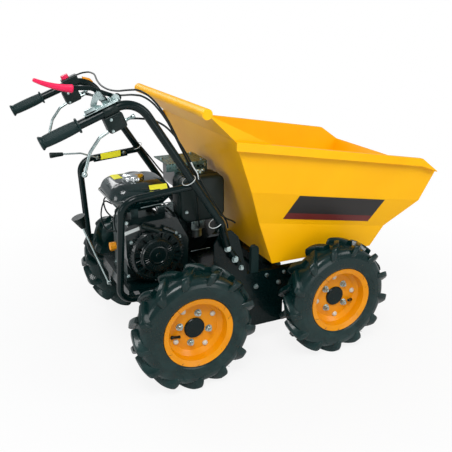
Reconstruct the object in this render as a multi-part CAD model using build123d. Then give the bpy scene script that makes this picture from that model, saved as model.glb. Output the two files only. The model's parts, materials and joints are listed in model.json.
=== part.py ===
from build123d import *
import os
from math import atan2, cos, degrees, radians, sin, sqrt, tan

# A walk-behind four-wheel site dumper with a forward-tipping skip, in millimetres.
# +X points forward to the skip's lip, +Y to the machine's left, +Z up.
# While it is modelled, x is counted from the middle of the wheelbase and z from the axle line.
# The stored origin lies on the ground under the middle of the overall length.
origin_ahead = 2.5

# Clearances
seat_gap = 0.3
shaft_gap = 0.05
pin_gap = 0.1
moving_gap = 5.0

# Wheels
wheelbase = 530.0
track = 637.0
tyre_radius = 205.0
tyre_width = 98.0
carcass_radius = 189.0
crown_inset = 26.0
shoulder_radius = 178.0
shoulder_inset = 7.0
sidewall_radius = 146.0
bead_toe = 4.0
tyre_sides = 20
lugs_per_side = 13
lug_slant = 32.0
lug_width = 21.0
lug_overlap = 5.0
lug_shoulder_drop = 4.0
lug_end_drop = 15.0
lug_root_drop = 39.0
rim_lip_radius = 115.6
rim_width = 91.0
rim_sheet = 3.0
rim_seat_radius = 101.0
rim_flange_rise = 6.0
rim_disc_radius = 82.0
rim_step = 4.0
rim_well_half_width = 15.0
hub_radius = 34.0
hub_cap_height = 6.5
hub_cap_chamfer = 2.6
hub_flange_radius = 62.0
hub_flange_thickness = 6.0
shaft_radius = 15.0
shaft_depth = 14.0
wheel_bolt_circle = 102.0
wheel_bolt_radius = 5.5
wheel_bolts = 4

# Skip, all sheet
skip_sheet = 3.0
rim_slope = 9.7
kink_x = -118.9
kink_z = 578.3
rear_lean = 21.6
rim_half_width = 308.3
fold_drops = (156.7, 267.7)
fold_half_widths = (287.7, 253.1)
lower_band_taper = 0.122
rim_front_x = 602.5
lip_x = 680.9
lip_z = 399.7
front_folds = ((633.7, 291.0), (513.3, 201.2))
floor_front_x = 465.7
floor_z = 125.4
top_rail_x = -211.7
top_rail_z = 665.4
top_rail_radius = 16.0
top_rail_half_length = 318.0
ear_front_x = 4.4
flange_out = 12.0
flange_down = 27.0
flange_front_gap = 6.0

# Skip's hinge and underframe
hinge_x = 400.0
hinge_z = 91.0
hinge_pin_radius = 8.0
hinge_head_radius = 13.0
hinge_head_thickness = 5.0
hinge_eye_radius = 17.0
runner_y = 118.0
runner_width = 36.0
runner_height = 18.0
runner_sheet = 4.0
runner_rear_x = 95.0
runner_front_x = 440.0
ear_thickness = 8.0
ear_eye_radius = 13.5
ear_half_length = 27.0

# Chassis
rail_outer_y = 200.0
rail_width = 22.0
rail_height = 35.0
rail_sheet = 4.0
rail_rear_x = -395.0
rail_front_x = 372.0
cross_member_xs = (-376.0, -185.0, 98.0, 354.0)
cross_member_width = 36.0
bracket_rear_x = -140.0
bracket_front_x = -25.0
bracket_height = 170.0
bracket_foot = 12.0
bracket_shoulder = 40.0
bracket_top_inset = 26.0
bracket_front_inset = 52.0
bracket_sheet = 6.0
deck_front_x = -212.0
deck_rear_x = -425.0
deck_sheet = 4.0
deck_half_width = 164.0
pad_half_width = 14.0
buffer_x = 15.0
buffer_y = -189.0
buffer_top_z = 184.0
buffer_radius = 14.0
buffer_thickness = 16.0

# Drive
chain_case_radius = 50.0
chain_case_outer_y = 192.0
chain_case_width = 42.0
bearing_radius = 27.0
bearing_end_y = 238.0
chain_case_gap = 0.5
gearbox_rear_x = -110.0
gearbox_front_x = 130.0
gearbox_bottom_z = -117.0
gearbox_top_z = 45.0
gearbox_corner = 14.0
belly_sheet = 6.0

# Handlebars and guard loops
handle_y = 282.0
handle_radius = 12.5
grip_end_x = -664.0
grip_end_z = 618.0
handle_rise = 21.6
handle_corner_x = -409.0
handle_bend = 75.0
foot_bend = 45.0
foot_knee = (-152.0, 317.0)
foot_low = (-100.0, 207.0)
foot_end = (-58.0, 140.0)
grip_length = 104.0
grip_cap = 6.0
grip_radius = 15.5
grip_flange_radius = 21.0
grip_flange_width = 4.0
grip_swell = 2.0
loop_radius = 11.0
loop_top_y = 270.0
loop_low_y = 189.0
loop_rear_x = -462.0
loop_front_x = -234.6
loop_front_z = 447.0
loop_rear_z = 425.0
loop_low_z = 72.0
loop_bend = 50.0

# Hand controls
lever_housing_distance = 196.0
lever_housing_size = (54.0, 34.0, 46.0)
lever_housing_corner = 6.0
lever_housing_inset = 6.0
lever_collar_wall = 6.0
lever_collar_length = 30.0
lever_inset = 8.0
lever_radius = 4.5
lever_ball_radius = 8.0
lever_route = ((-478.0, 637.0), (-512.0, 617.0), (-541.0, 579.0), (-560.0, 519.0))
lever_bends = (12.0, 40.0)
plate_start = 128.0
plate_end = 226.0
plate_width = 30.0
plate_sheet = 3.0
plate_peak = ((-529.0, 694.0), (-525.0, 703.0), (-502.0, 738.0), (-483.0, 726.0))
release_pivot = (-451.0, 719.0)
release_eye_radius = 11.0
release_y = 252.0
release_bar_width = 6.0
release_bar_half_height = 6.0
release_route = ((-523.0, 747.0), (-582.0, 751.0), (-668.0, 775.0))
release_grip_width = 16.0
release_grip_ends = (11.0, 5.0)
switch_distance = 214.0
switch_size = (54.0, 34.0, 30.0)
switch_top = 24.0
switch_corner = 6.0
button_distance = 203.0
button_radius = 13.0
button_height = 12.0
choke_outline = ((-424.0, 706.0), (-426.0, 719.0), (-400.0, 712.0), (-389.0, 700.0), (-393.0, 694.0))
choke_width = 8.0
gear_plate_rear_x = -412.0
gear_plate_front_x = -286.0
gear_plate_height = 24.0
gear_plate_sheet = 5.0
gear_rod_radius = 3.0
gear_rod_route = ((-396.0, 432.0), (-458.0, 456.0), (-524.0, 459.0))
gear_rod_bend = 12.0
gear_knob_radius = 9.5
gear_knob_length = 26.0
pedal_y = 80.0
pedal_rod_radius = 4.5
pedal_low = (-430.0, 18.0)
pedal_high = (-505.0, 237.0)
pedal_grip_length = 44.0
pedal_grip_radii = (8.0, 24.0)
pedal_tab_half_width = 14.0
pedal_tab_low_z = 7.0
cable_radius = 2.8
cable_bend_share = 0.45

# Engine
crank_x = -322.0
crank_z = 195.0
engine_foot_height = 12.0
crankcase_half_width = 82.0
crankcase_top_z = 273.0
crankcase_near_y = -84.0
crankcase_far_y = 68.0
cylinder_tilt = 25.0
cylinder_start = 60.0
fin_count = 7
fin_pitch = 11.0
fin_thickness = 4.0
fin_half_width = 52.0
head_length = 38.0
head_half_width = 42.0
head_half_depth = 47.0
barrel_size = (72.0, 80.0)
fin_depth = 104.0
crankcase_corner = 16.0
engine_foot_spread = 6.0
belt_front_x = -95.0
belt_front_z = 140.0
belt_cover_radius = 47.0
belt_cover_depth = 46.0
exhaust_x = -172.0
exhaust_radius = 13.0
exhaust_reach = 82.0
stay_xs = (-380.0, -288.0)
stay_width = 24.0
stay_sheet = 6.0
stay_overlap = 30.0
oil_cap_radius = 14.0
oil_cap_length = 20.0
oil_cap_y = 52.0
oil_cap_z = 165.0
fan_radius = 96.0
fan_depth = 54.0
fan_corner_radius = 22.0
fan_corners = ((-398.0, 282.0), (-262.0, 290.0), (-230.0, 225.0), (-234.0, 150.0))
recoil_radius = 88.0
recoil_depth = 26.0
recoil_rim = 8.0
recoil_shelf = 16.0
recoil_dome_radius = 52.0
recoil_slots = 14
recoil_slot_radii = (58.0, 76.0)
recoil_slot_width = 7.0
recoil_slot_floor = 3.0
pull_angle = 62.0
pull_radius = 8.0
pull_length = 42.0
tank_rear_x = -464.0
tank_front_x = -238.0
tank_near_y = -110.0
tank_far_y = 92.0
tank_levels = ((333.0, 38.0), (392.0, 0.0), (416.0, 9.0), (434.0, 40.0))
tank_corner = 40.0
cap_x = -357.0
cap_y = -20.0
cap_radius = 34.0
cap_height = 14.0
cap_edge = 4.0
filter_rear_x = -228.0
filter_front_x = -74.0
filter_near_y = -142.0
filter_far_y = -53.0
filter_bottom_z = 282.0
filter_top_z = 433.0
filter_top_corner = 26.0
filter_low_corner = 8.0
carburettor_x = -151.0
carburettor_width = 48.0
carburettor_depth = 44.0
carburettor_height = 46.0
bowl_radius = 19.0
bowl_height = 32.0
muffler_rear_x = -208.0
muffler_front_x = -96.0
muffler_near_y = -30.0
muffler_far_y = 88.0
muffler_bottom_z = 362.0
muffler_top_z = 450.0
muffler_corner = 20.0
guard_rear_x = -240.0
guard_step_x = -212.0
guard_front_x = -93.0
guard_sheet = 3.0
guard_gap = 6.0
guard_skirts = (24.0, 61.0)
guard_slot_rows = 3
guard_slot_columns = 6
guard_slot_size = (11.0, 8.0)
guard_slot_pitch = (18.0, 16.0)

# Control cables, each as the corners of its clipped route
cable_routes = {
    "clutch_right": [
        (-439.2, -276, 658.6), (-425, -274, 663), (-399, -267, 660), (-356, -262, 653), (-320, -262, 633),
        (-290, -262, 601), (-264, -262, 559), (-236, -262, 506), (-208, -261, 452), (-178, -259, 394),
        (-148, -252, 342), (-114, -238, 314), (-84, -218, 297), (-66, -203, 282),
    ],
    "clutch_left": [
        (-439.2, 281, 658.6), (-426, 278, 663), (-415, 254, 664), (-418, 206, 667), (-430, 144, 674),
        (-434, 76, 681), (-424, 8, 690), (-412, -68, 698), (-404, -140, 707), (-396, -206, 717), (-378, -246, 718),
        (-352, -252, 700), (-326, -252, 669), (-305, -252, 636), (-286, -252, 597), (-262, -252, 546),
        (-232, -251, 490), (-198, -250, 434), (-160, -246, 378), (-126, -234, 328), (-100, -214, 292),
        (-92, -203, 268),
    ],
    "throttle": [
        (-445.6, 289, 723.5), (-424, 287, 731), (-404, 268, 735), (-398, 222, 733), (-408, 160, 731),
        (-420, 96, 726), (-425, 28, 717), (-420, -40, 712), (-410, -106, 715), (-402, -174, 726), (-384, -228, 733),
        (-356, -243, 716), (-328, -243, 684), (-304, -243, 646), (-282, -242, 602), (-260, -238, 553),
        (-238, -226, 508), (-214, -206, 464), (-196, -182, 414), (-184, -166, 358), (-176, -156, 302),
        (-166, -138, 262), (-158, -114, 249), (-154, -92, 246),
    ],
    "brake_left": [
        (-438.2, 264, 655.8), (-425, 263, 660), (-400, 260, 655), (-376, 258, 640), (-350, 258, 614),
        (-322, 259, 581),
        (-292, 261, 537), (-263, 262, 493), (-232, 262, 459), (-197, 262, 413), (-159, 261, 359),
        (-126, 252, 318), (-102, 234, 290), (-86, 216, 274), (-80, 203, 262),
    ],
}

wheel_y = track / 2
half_base = wheelbase / 2
rail_bottom_z = chain_case_radius
rail_top_z = rail_bottom_z + rail_height
deck_top_z = rail_top_z + deck_sheet
bracket_top_z = rail_top_z + bracket_height
hinge_cheek_y = runner_y + runner_width / 2 + moving_gap
sides = {"right": -1, "left": 1}
axles = {"front": 1, "rear": -1}
bolt_turns = {"front": 50.0, "rear": 75.0}


def block(x0, x1, y0, y1, z0, z1):
    """Return a rectangular block between two corners."""
    centre = Pos((x0 + x1) / 2, (y0 + y1) / 2, (z0 + z1) / 2)
    return centre * Box(x1 - x0, y1 - y0, z1 - z0)


def side_plate(points, y0, y1):
    """Extrude a closed outline given as (x, z) points from y0 to y1."""
    face = Plane.XZ.offset(-y1) * make_face(Polyline(*points, close=True))
    return extrude(face, amount=y1 - y0)


def side_disc(x, z, radius, y0, y1):
    """Return a cylinder along Y between y0 and y1."""
    return extrude(Plane.XZ.offset(-y1) * (Pos(x, z) * Circle(radius)), amount=y1 - y0)


def side_slot(start, end, radius, y0, y1):
    """Return an obround plate whose round ends are centred on two (x, z) points."""
    length = sqrt((end[0] - start[0]) ** 2 + (end[1] - start[1]) ** 2)
    plate = extrude(Plane.XZ.offset(-y1) * SlotCenterToCenter(length, 2 * radius), amount=y1 - y0)
    turn = degrees(atan2(end[1] - start[1], end[0] - start[0]))
    return Pos((start[0] + end[0]) / 2, 0, (start[1] + end[1]) / 2) * Rot(0, -turn, 0) * plate


def tube(points, radius, bends):
    """Return a round bar along straight runs joined by tangent arcs."""
    path = FilletPolyline(*points, radius=bends)
    section = Plane(origin=path @ 0, z_dir=path % 0) * Circle(radius)
    return sweep(section, path=path)


def other_side(shape, side):
    """Return the shape as drawn for the left, mirrored for the right."""
    return mirror(shape, about=Plane.XZ) if side < 0 else shape


def joined(pieces):
    """Return the union of several pieces."""
    whole = pieces[0]
    for piece in pieces[1:]:
        whole = whole + piece
    return whole


def ring(points):
    """Turn a closed (radius, offset) outline about the Y axis, with the offset along Y."""
    return revolve(make_face(Polyline(*points, close=True)), axis=Axis.Y)


# Wheels


def many_sided(section):
    """Sweep a closed (radius, offset) section round the Y axis in flat panels."""
    step = radians(360 / tyre_sides)
    panels = []
    for i in range(tyre_sides):
        for (r0, y0), (r1, y1) in zip(section, section[1:] + section[:1]):
            corners = [(r0, y0, i), (r1, y1, i), (r1, y1, i + 1), (r0, y0, i + 1)]
            spots = [(r * cos(step * k), y, r * sin(step * k)) for r, y, k in corners]
            panels.append(Face(Wire.make_polygon(spots)))
    return Solid(Shell(panels))


def tyre_lug():
    """Return one slanted bar lug that falls off over the shoulder."""
    half = tyre_width / 2
    corner = lug_width / 2 * sin(radians(lug_slant))
    knee = (half - corner - shoulder_inset) / cos(radians(lug_slant))
    reach = (half - corner) / cos(radians(lug_slant))
    edge_z = sqrt(tyre_radius ** 2 - (half * tan(radians(lug_slant))) ** 2)
    points = [
        (-lug_overlap, shoulder_radius),
        (-lug_overlap, tyre_radius),
        (knee, edge_z - lug_shoulder_drop),
        (reach, edge_z - lug_end_drop),
        (reach, edge_z - lug_root_drop),
    ]
    profile = Plane.YZ * make_face(Polyline(*points, close=True))
    return Rot(0, 0, lug_slant) * extrude(profile, amount=lug_width / 2, both=True)


def tyre():
    """Return a lugged tyre about the Y axis."""
    half = tyre_width / 2
    rim_flange = rim_width / 2 - rim_sheet - 2 * seat_gap
    clear = cos(radians(180 / tyre_sides))
    outside = [(sidewall_radius, half), (shoulder_radius, half - shoulder_inset), (carcass_radius, half - crown_inset)]
    inside = [((rim_seat_radius + seat_gap) / clear, rim_flange - rim_flange_rise), (rim_lip_radius / clear, rim_flange)]
    inside += [((rim_lip_radius + bead_toe) / clear, half - bead_toe), (sidewall_radius - bead_toe, half)]
    near_side = inside + outside
    carcass = many_sided(near_side + [(r, -y) for r, y in reversed(near_side)])
    lug = tyre_lug()
    pitch = 360 / lugs_per_side
    outer_row = [Rot(0, pitch * i, 0) * lug for i in range(lugs_per_side)]
    other_lug = mirror(lug, about=Plane.XZ)
    inner_row = [Rot(0, pitch * (i + 0.5), 0) * other_lug for i in range(lugs_per_side)]
    return carcass + outer_row + inner_row


def rim():
    """Return a pressed rim of two bolted halves, about the Y axis."""
    half = rim_width / 2
    s = rim_sheet
    outside = [
        (hub_radius + shaft_gap, s),
        (rim_disc_radius - s, s),
        (rim_seat_radius - s - rim_step, rim_well_half_width),
        (rim_seat_radius - s, half - rim_flange_rise),
        (rim_lip_radius, half),
    ]
    inside = [
        (rim_lip_radius, half - s),
        (rim_seat_radius, half - rim_flange_rise - s),
        (rim_seat_radius - rim_step, rim_well_half_width),
    ]
    far = [(r, -w) for r, w in reversed(outside + inside)]
    shell = ring(outside + inside + [(rim_disc_radius + s, 0)] + far)
    for spot in PolarLocations(wheel_bolt_circle / 2, wheel_bolts):
        shell -= side_disc(spot.position.X, spot.position.Y, wheel_bolt_radius, -2 * s, 2 * s)
    return shell


def hub():
    """Return a hub with its flange, cap and drive shaft, outward along +Y."""
    flange_y = -rim_sheet - seat_gap
    cap = side_disc(0, 0, hub_radius, flange_y - hub_flange_thickness, rim_sheet + hub_cap_height)
    cap = chamfer(cap.edges().group_by(Axis.Y)[-1], hub_cap_chamfer)
    flange = side_disc(0, 0, hub_flange_radius, flange_y - hub_flange_thickness, flange_y)
    shaft = side_disc(0, 0, shaft_radius, chain_case_outer_y - wheel_y - shaft_depth, flange_y)
    return cap + flange + shaft


def wheels():
    """Return tyre, rim and hub of each wheel in its place."""
    pieces = {}
    shapes = {"tyre": tyre(), "rim": rim(), "hub": hub()}
    for axle, along in axles.items():
        for name, side in sides.items():
            for kind, shape in shapes.items():
                turn = bolt_turns[axle] if kind == "rim" else 0
                turned = Rot(0, -turn, 0) * shape
                place = Pos(along * half_base, side * wheel_y, 0)
                pieces[f"{kind}_{axle}_{name}"] = place * other_side(turned, side)
    return pieces


# Skip


def crossing(line_a, line_b):
    """Return the point where two lines, each a point and a direction, meet."""
    ax, az, adx, adz = line_a
    bx, bz, bdx, bdz = line_b
    t = ((bx - ax) * bdz - (bz - az) * bdx) / (adx * bdz - adz * bdx)
    return ax + adx * t, az + adz * t


def inset_chain(points, inset):
    """Move an open chain of edges to its left by the inset, keeping its corners sharp."""
    lines = []
    for (x0, z0), (x1, z1) in zip(points, points[1:]):
        run = sqrt((x1 - x0) ** 2 + (z1 - z0) ** 2)
        dx, dz = (x1 - x0) / run, (z1 - z0) / run
        lines.append((x0 - dz * inset, z0 + dx * inset, dx, dz))
    last_x, last_z, dx, dz = lines[-1]
    end = (last_x + dx * run, last_z + dz * run)
    return [lines[0][:2]] + [crossing(a, b) for a, b in zip(lines, lines[1:])] + [end]


def rim_line_z(x):
    """Return the height of the side rim at x."""
    return kink_z - tan(radians(rim_slope)) * (x - kink_x)


def skip_side_outline(inset, rise):
    """Return the skip's outline from the side; rise lifts the open top."""
    lean = tan(radians(rear_lean))
    floor_rear_x = kink_x + lean * (kink_z - floor_z)
    back_run = sqrt((kink_x - top_rail_x) ** 2 + (kink_z - top_rail_z) ** 2)
    over = rise / back_run
    start = (top_rail_x - (kink_x - top_rail_x) * over, top_rail_z - (kink_z - top_rail_z) * over)
    chain = [start, (kink_x, kink_z), (floor_rear_x, floor_z), (floor_front_x, floor_z)]
    chain += [front_folds[1], front_folds[0], (lip_x, lip_z)]
    top = [(rim_front_x, rim_line_z(rim_front_x) + rise), (ear_front_x, rim_line_z(ear_front_x) + rise)]
    if rise > 0:
        top = [(lip_x, lip_z + rise)] + top
    return inset_chain(chain, inset) + top


def skip_cross_outline(inset):
    """Return the skip's outline seen along its rim, as (y, height) points."""
    reach = kink_z - floor_z + 2 * flange_down
    low_width = fold_half_widths[1] - lower_band_taper * (reach - fold_drops[1])
    slope = (rim_half_width - fold_half_widths[0]) / fold_drops[0]
    rise = 2 * (top_rail_z - kink_z)
    chain = [(low_width, -reach), (fold_half_widths[1], -fold_drops[1])]
    chain += [(fold_half_widths[0], -fold_drops[0]), (rim_half_width + slope * rise, rise)]
    left = inset_chain(chain, inset)
    return left + [(-y, height) for y, height in reversed(left)]


def skip_body(inset, rise):
    """Return the space inside the skip's walls, moved inwards by the inset."""
    width = 2 * rim_half_width
    side = side_plate(skip_side_outline(inset, rise), -width, width)
    turn = radians(rim_slope)
    along = Vector(cos(turn), 0, -sin(turn))
    plane = Plane(origin=(kink_x, 0, kink_z), x_dir=(0, 1, 0), z_dir=along)
    section = plane * make_face(Polyline(*skip_cross_outline(inset), close=True))
    return side & extrude(section, amount=2 * (lip_x - kink_x), both=True)


def skip_flange():
    """Return the folded flange along the left rim, tapering towards the lip."""
    outer_y = rim_half_width + flange_out
    front = (lip_x - flange_front_gap, lip_z + flange_front_gap / 2)
    edge = [front, (rim_front_x, rim_line_z(rim_front_x)), (kink_x, kink_z)]
    top = edge + list(reversed(inset_chain(edge, skip_sheet)))
    skirt = edge + [(x, rim_line_z(x) - flange_down) for x in (kink_x, rim_front_x)]
    shelf = side_plate(top, rim_half_width - skip_sheet / 2, outer_y)
    return shelf + side_plate(skirt, outer_y - skip_sheet, outer_y)


def skip_tub():
    """Return the skip's bent and welded sheet body."""
    shell = skip_body(0, 0) - skip_body(skip_sheet, 20 * skip_sheet)
    flange = skip_flange()
    rail = side_disc(top_rail_x, top_rail_z, top_rail_radius, -top_rail_half_length, top_rail_half_length)
    return shell + rail + flange + other_side(flange, -1)


def skip_runner():
    """Return one channel under the skip's floor with its hinge ear, on the left."""
    s = runner_sheet
    low = floor_z - runner_height
    y0 = runner_y - runner_width / 2
    y1 = runner_y + runner_width / 2
    channel = block(runner_rear_x, runner_front_x, y0, y1, low, floor_z)
    channel -= block(runner_rear_x - s, runner_front_x + s, y0 + s, y1 - s, low + s, floor_z + s)
    ear_y0 = runner_y - ear_thickness / 2
    ear_y1 = runner_y + ear_thickness / 2
    points = [(hinge_x - ear_half_length, low), (hinge_x + ear_half_length, low)]
    points += [(hinge_x + ear_eye_radius, hinge_z), (hinge_x - ear_eye_radius, hinge_z)]
    ear = side_plate(points, ear_y0, ear_y1) + side_disc(hinge_x, hinge_z, ear_eye_radius, ear_y0, ear_y1)
    return channel + ear - side_disc(hinge_x, hinge_z, hinge_pin_radius + pin_gap, y0, y1)


# Chassis


def frame_rail():
    """Return the left side rail, a channel open to the inside."""
    s = rail_sheet
    y0 = rail_outer_y - rail_width
    rail = block(rail_rear_x, rail_front_x, y0, rail_outer_y, rail_bottom_z, rail_top_z)
    ends = (rail_rear_x + s, rail_front_x - s)
    return rail - block(*ends, y0 - s, rail_outer_y - s, rail_bottom_z + s, rail_top_z - s)


def handle_bracket():
    """Return the left upright plate that carries a handlebar's foot."""
    low = rail_top_z - bracket_foot
    points = [
        (bracket_rear_x, low),
        (bracket_front_x + bracket_foot, low),
        (bracket_front_x, rail_top_z + bracket_shoulder),
        (bracket_front_x - bracket_front_inset / 2, bracket_top_z - bracket_top_inset),
        (bracket_front_x - bracket_front_inset, bracket_top_z),
        (bracket_rear_x + bracket_top_inset, bracket_top_z),
        (bracket_rear_x, bracket_top_z - bracket_shoulder),
    ]
    return side_plate(points, rail_outer_y - bracket_sheet, rail_outer_y)


def hinge_cheek():
    """Return one left chassis plate beside the skip's hinge ear."""
    y1 = hinge_cheek_y + ear_thickness
    rear_x = cross_member_xs[-1] - cross_member_width / 2
    front_x = hinge_x + hinge_eye_radius / 3
    points = [(rear_x, rail_bottom_z), (rear_x + cross_member_width, rail_bottom_z)]
    points += [(front_x, hinge_z - hinge_eye_radius * 0.8), (hinge_x, hinge_z + hinge_eye_radius)]
    points += [(hinge_x - hinge_eye_radius, hinge_z + hinge_eye_radius / 2), (rear_x, rail_top_z)]
    plate = side_plate(points, hinge_cheek_y, y1)
    plate += side_disc(hinge_x, hinge_z, hinge_eye_radius, hinge_cheek_y, y1)
    return plate - side_disc(hinge_x, hinge_z, hinge_pin_radius, hinge_cheek_y, y1)


def chassis_frame():
    """Return the welded frame with its brackets and hinge cheeks."""
    pieces = []
    for side in sides.values():
        pieces += [other_side(part, side) for part in (frame_rail(), handle_bracket(), hinge_cheek())]
    inner_y = rail_outer_y - rail_sheet
    half = cross_member_width / 2
    for x in cross_member_xs:
        pieces.append(block(x - half, x + half, -inner_y, inner_y, rail_bottom_z + rail_sheet, rail_top_z))
    return joined(pieces)


def engine_deck():
    """Return the folded plate that carries the engine, with the tall lever's tab."""
    half = deck_half_width
    lip_x1 = deck_rear_x + deck_sheet
    deck = block(deck_rear_x, deck_front_x, -half, half, rail_top_z, deck_top_z)
    lip = block(deck_rear_x, lip_x1, -half, half, rail_bottom_z, rail_top_z)
    tab_y0 = pedal_y - pedal_tab_half_width
    tab = block(deck_rear_x, lip_x1, tab_y0, pedal_y + pedal_tab_half_width, pedal_tab_low_z, rail_bottom_z)
    return deck + lip + tab


def rest_pads():
    """Return the two rubber pads that the lowered skip's runners rest on."""
    x = cross_member_xs[2]
    half = cross_member_width / 2
    top = floor_z - runner_height - seat_gap
    pad = block(x - half, x + half, runner_y - pad_half_width, runner_y + pad_half_width, rail_top_z, top)
    return pad + other_side(pad, -1)


def hinge_pin():
    """Return the long pin that the skip tips about, with a head at each end."""
    reach = hinge_cheek_y + ear_thickness + seat_gap
    pin = side_disc(hinge_x, hinge_z, hinge_pin_radius, -reach, reach)
    head = side_disc(hinge_x, hinge_z, hinge_head_radius, reach, reach + hinge_head_thickness)
    return pin + head + other_side(head, -1)


def rear_buffer():
    """Return the round-topped buffer on the right rail behind the lowered skip."""
    y0 = buffer_y - buffer_thickness / 2
    y1 = buffer_y + buffer_thickness / 2
    top = buffer_top_z - buffer_radius
    post = block(buffer_x - buffer_radius, buffer_x + buffer_radius, y0, y1, rail_top_z, top)
    return post + side_disc(buffer_x, top, buffer_radius, y0, y1)


def chain_case():
    """Return the left chain case with a bearing tube for each wheel shaft."""
    radius = chain_case_radius - chain_case_gap
    inner_y = chain_case_outer_y - chain_case_width
    case = side_slot((-half_base, 0), (half_base, 0), radius, inner_y, chain_case_outer_y)
    for along in axles.values():
        case += side_disc(along * half_base, 0, bearing_radius, chain_case_outer_y, bearing_end_y)
    blind_y = chain_case_outer_y - shaft_depth - seat_gap
    for along in axles.values():
        case -= side_disc(along * half_base, 0, shaft_radius + shaft_gap, blind_y, bearing_end_y)
    return case


def gearbox():
    """Return the gearbox between the chain cases."""
    half = chain_case_outer_y - chain_case_width
    body = block(gearbox_rear_x, gearbox_front_x, -half, half, gearbox_bottom_z, gearbox_top_z)
    return fillet(body.edges().filter_by(Axis.Y).group_by(Axis.Z)[-1], gearbox_corner)


def belly_pan():
    """Return the folded guard under the gearbox, up to the rails on both sides."""
    s = belly_sheet
    half = chain_case_outer_y
    low = gearbox_bottom_z - s
    pan = block(gearbox_rear_x, gearbox_front_x, -half - s, half + s, low, rail_bottom_z)
    return pan - block(gearbox_rear_x, gearbox_front_x, -half, half, gearbox_bottom_z, rail_bottom_z)


# Handlebars


def handlebar():
    """Return the left handlebar tube from the grip to its foot."""
    corner_z = grip_end_z + tan(radians(handle_rise)) * (handle_corner_x - grip_end_x)
    foot_y = rail_outer_y + handle_radius
    points = [
        (grip_end_x, handle_y, grip_end_z),
        (handle_corner_x, handle_y, corner_z),
        (foot_knee[0], handle_y, foot_knee[1]),
        (foot_low[0], foot_y, foot_low[1]),
        (foot_end[0], foot_y, foot_end[1]),
    ]
    return tube(points, handle_radius, [handle_bend, foot_bend, foot_bend])


def along_handle(distance, lift):
    """Return the (x, z) place beside the upper tube; distance runs from its grip end."""
    turn = radians(handle_rise)
    x = grip_end_x + distance * cos(turn) - lift * sin(turn)
    return x, grip_end_z + distance * sin(turn) + lift * cos(turn)


def handle_frame(distance, lift):
    """Return the location on the left upper tube, its x axis along the tube."""
    x, z = along_handle(distance, lift)
    return Pos(x, handle_y, z) * Rot(0, -handle_rise, 0)


def handle_grips():
    """Return the rubber grips, each with a closed end and a flange."""
    r = grip_radius
    start = grip_length - grip_flange_width
    face = [(0, -grip_cap), (r, -grip_cap), (r + grip_swell, 0), (r, grip_flange_width)]
    face += [(r, start - grip_swell), (grip_flange_radius, start), (grip_flange_radius, grip_length)]
    face += [(handle_radius, grip_length), (handle_radius, 0), (0, 0)]
    grip = handle_frame(0, 0) * (Rot(0, 0, -90) * ring(face))
    return grip + other_side(grip, -1)


def guard_loop():
    """Return the left guard loop behind the wheel, coped to the handlebar."""
    points = [
        (loop_front_x, loop_top_y, loop_front_z),
        (loop_rear_x, loop_top_y, loop_rear_z),
        (loop_rear_x, loop_low_y, loop_low_z),
        (rail_rear_x, loop_low_y, loop_low_z),
    ]
    return tube(points, loop_radius, [loop_bend, loop_bend]) - handlebar()


# Hand controls


def lever_housing():
    """Return the left clutch lever housing under the tube."""
    length, width, height = lever_housing_size
    body = fillet(Box(length, width, height).edges().filter_by(Axis.Y), lever_housing_corner)
    collar = Rot(0, 90, 0) * Cylinder(handle_radius + lever_collar_wall, lever_collar_length)
    body = Pos(0, -lever_housing_inset, -handle_radius - height / 2) * body + collar
    return handle_frame(lever_housing_distance, 0) * body - handlebar()


def clutch_lever():
    """Return the left hand lever with its ball end."""
    points = [(x, handle_y - lever_inset, z) for x, z in lever_route]
    lever = tube(points, lever_radius, lever_bends) - lever_housing()
    return lever + Pos(*points[-1]) * Sphere(lever_ball_radius)


def lever_housings():
    """Return the clutch lever housings of both handlebars."""
    return lever_housing() + other_side(lever_housing(), -1)


def clutch_levers():
    """Return the clutch levers of both handlebars."""
    return clutch_lever() + other_side(clutch_lever(), -1)


def lever_bracket():
    """Return the plated bracket on the right tube: two strips beside the collar and a peaked ear."""
    t = plate_sheet
    collar_rear = lever_housing_distance - lever_collar_length / 2 - seat_gap
    collar_front = lever_housing_distance + lever_collar_length / 2 + seat_gap
    strips = []
    for start, end in ((plate_start, collar_rear), (collar_front, plate_end)):
        strip = Box(end - start, plate_width, t)
        strips.append(handle_frame((start + end) / 2, handle_radius + t / 2) * strip)
    y1 = handle_y - plate_width / 2 + t
    rear = along_handle(plate_start + plate_width, handle_radius + t)
    front = along_handle(plate_end, handle_radius + t)
    x, z = release_pivot
    ear = side_plate([rear] + list(plate_peak) + [(x, z + release_eye_radius / 2), front], y1 - t, y1)
    ear += side_disc(x, z, release_eye_radius, y1 - t, y1)
    return other_side(joined(strips + [ear]) - handlebar() - lever_housing(), -1)


def release_lever():
    """Return the skip release lever's flat bar on its pivot."""
    x, z = release_pivot
    half = release_bar_half_height
    knee, end = release_route[:2]
    outline = [(x, z + half), (knee[0], knee[1] + half), (end[0], end[1] + half)]
    outline += [(end[0], end[1] - half), (knee[0], knee[1] - half), (x, z - half)]
    y0 = release_y - release_bar_width / 2
    y1 = release_y + release_bar_width / 2
    bar = side_plate(outline, y0, y1) + side_disc(x, z, release_eye_radius, y0, y1)
    boss = side_disc(x, z, release_eye_radius / 2, y1, handle_y - plate_width / 2 - seat_gap)
    return other_side(bar + boss, -1)


def release_grip():
    """Return the tapered grip on the release lever's end."""
    (x0, z0), (x1, z1) = release_route[1:]
    fat, thin = release_grip_ends
    outline = [(x0, z0 - fat), (x0, z0 + fat), (x1 + thin, z1 + thin), (x1, z1), (x1 + thin, z1 - thin)]
    half = release_grip_width / 2
    return other_side(side_plate(outline, release_y - half, release_y + half), -1)


def throttle_control():
    """Return the engine switch's body, saddled on the left tube."""
    height = switch_size[2]
    body = fillet(Box(*switch_size).edges().filter_by(Axis.X).group_by(Axis.Z)[-1], switch_corner)
    body = handle_frame(switch_distance, switch_top - height / 2) * body
    return body - handlebar() - lever_housing()


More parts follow.
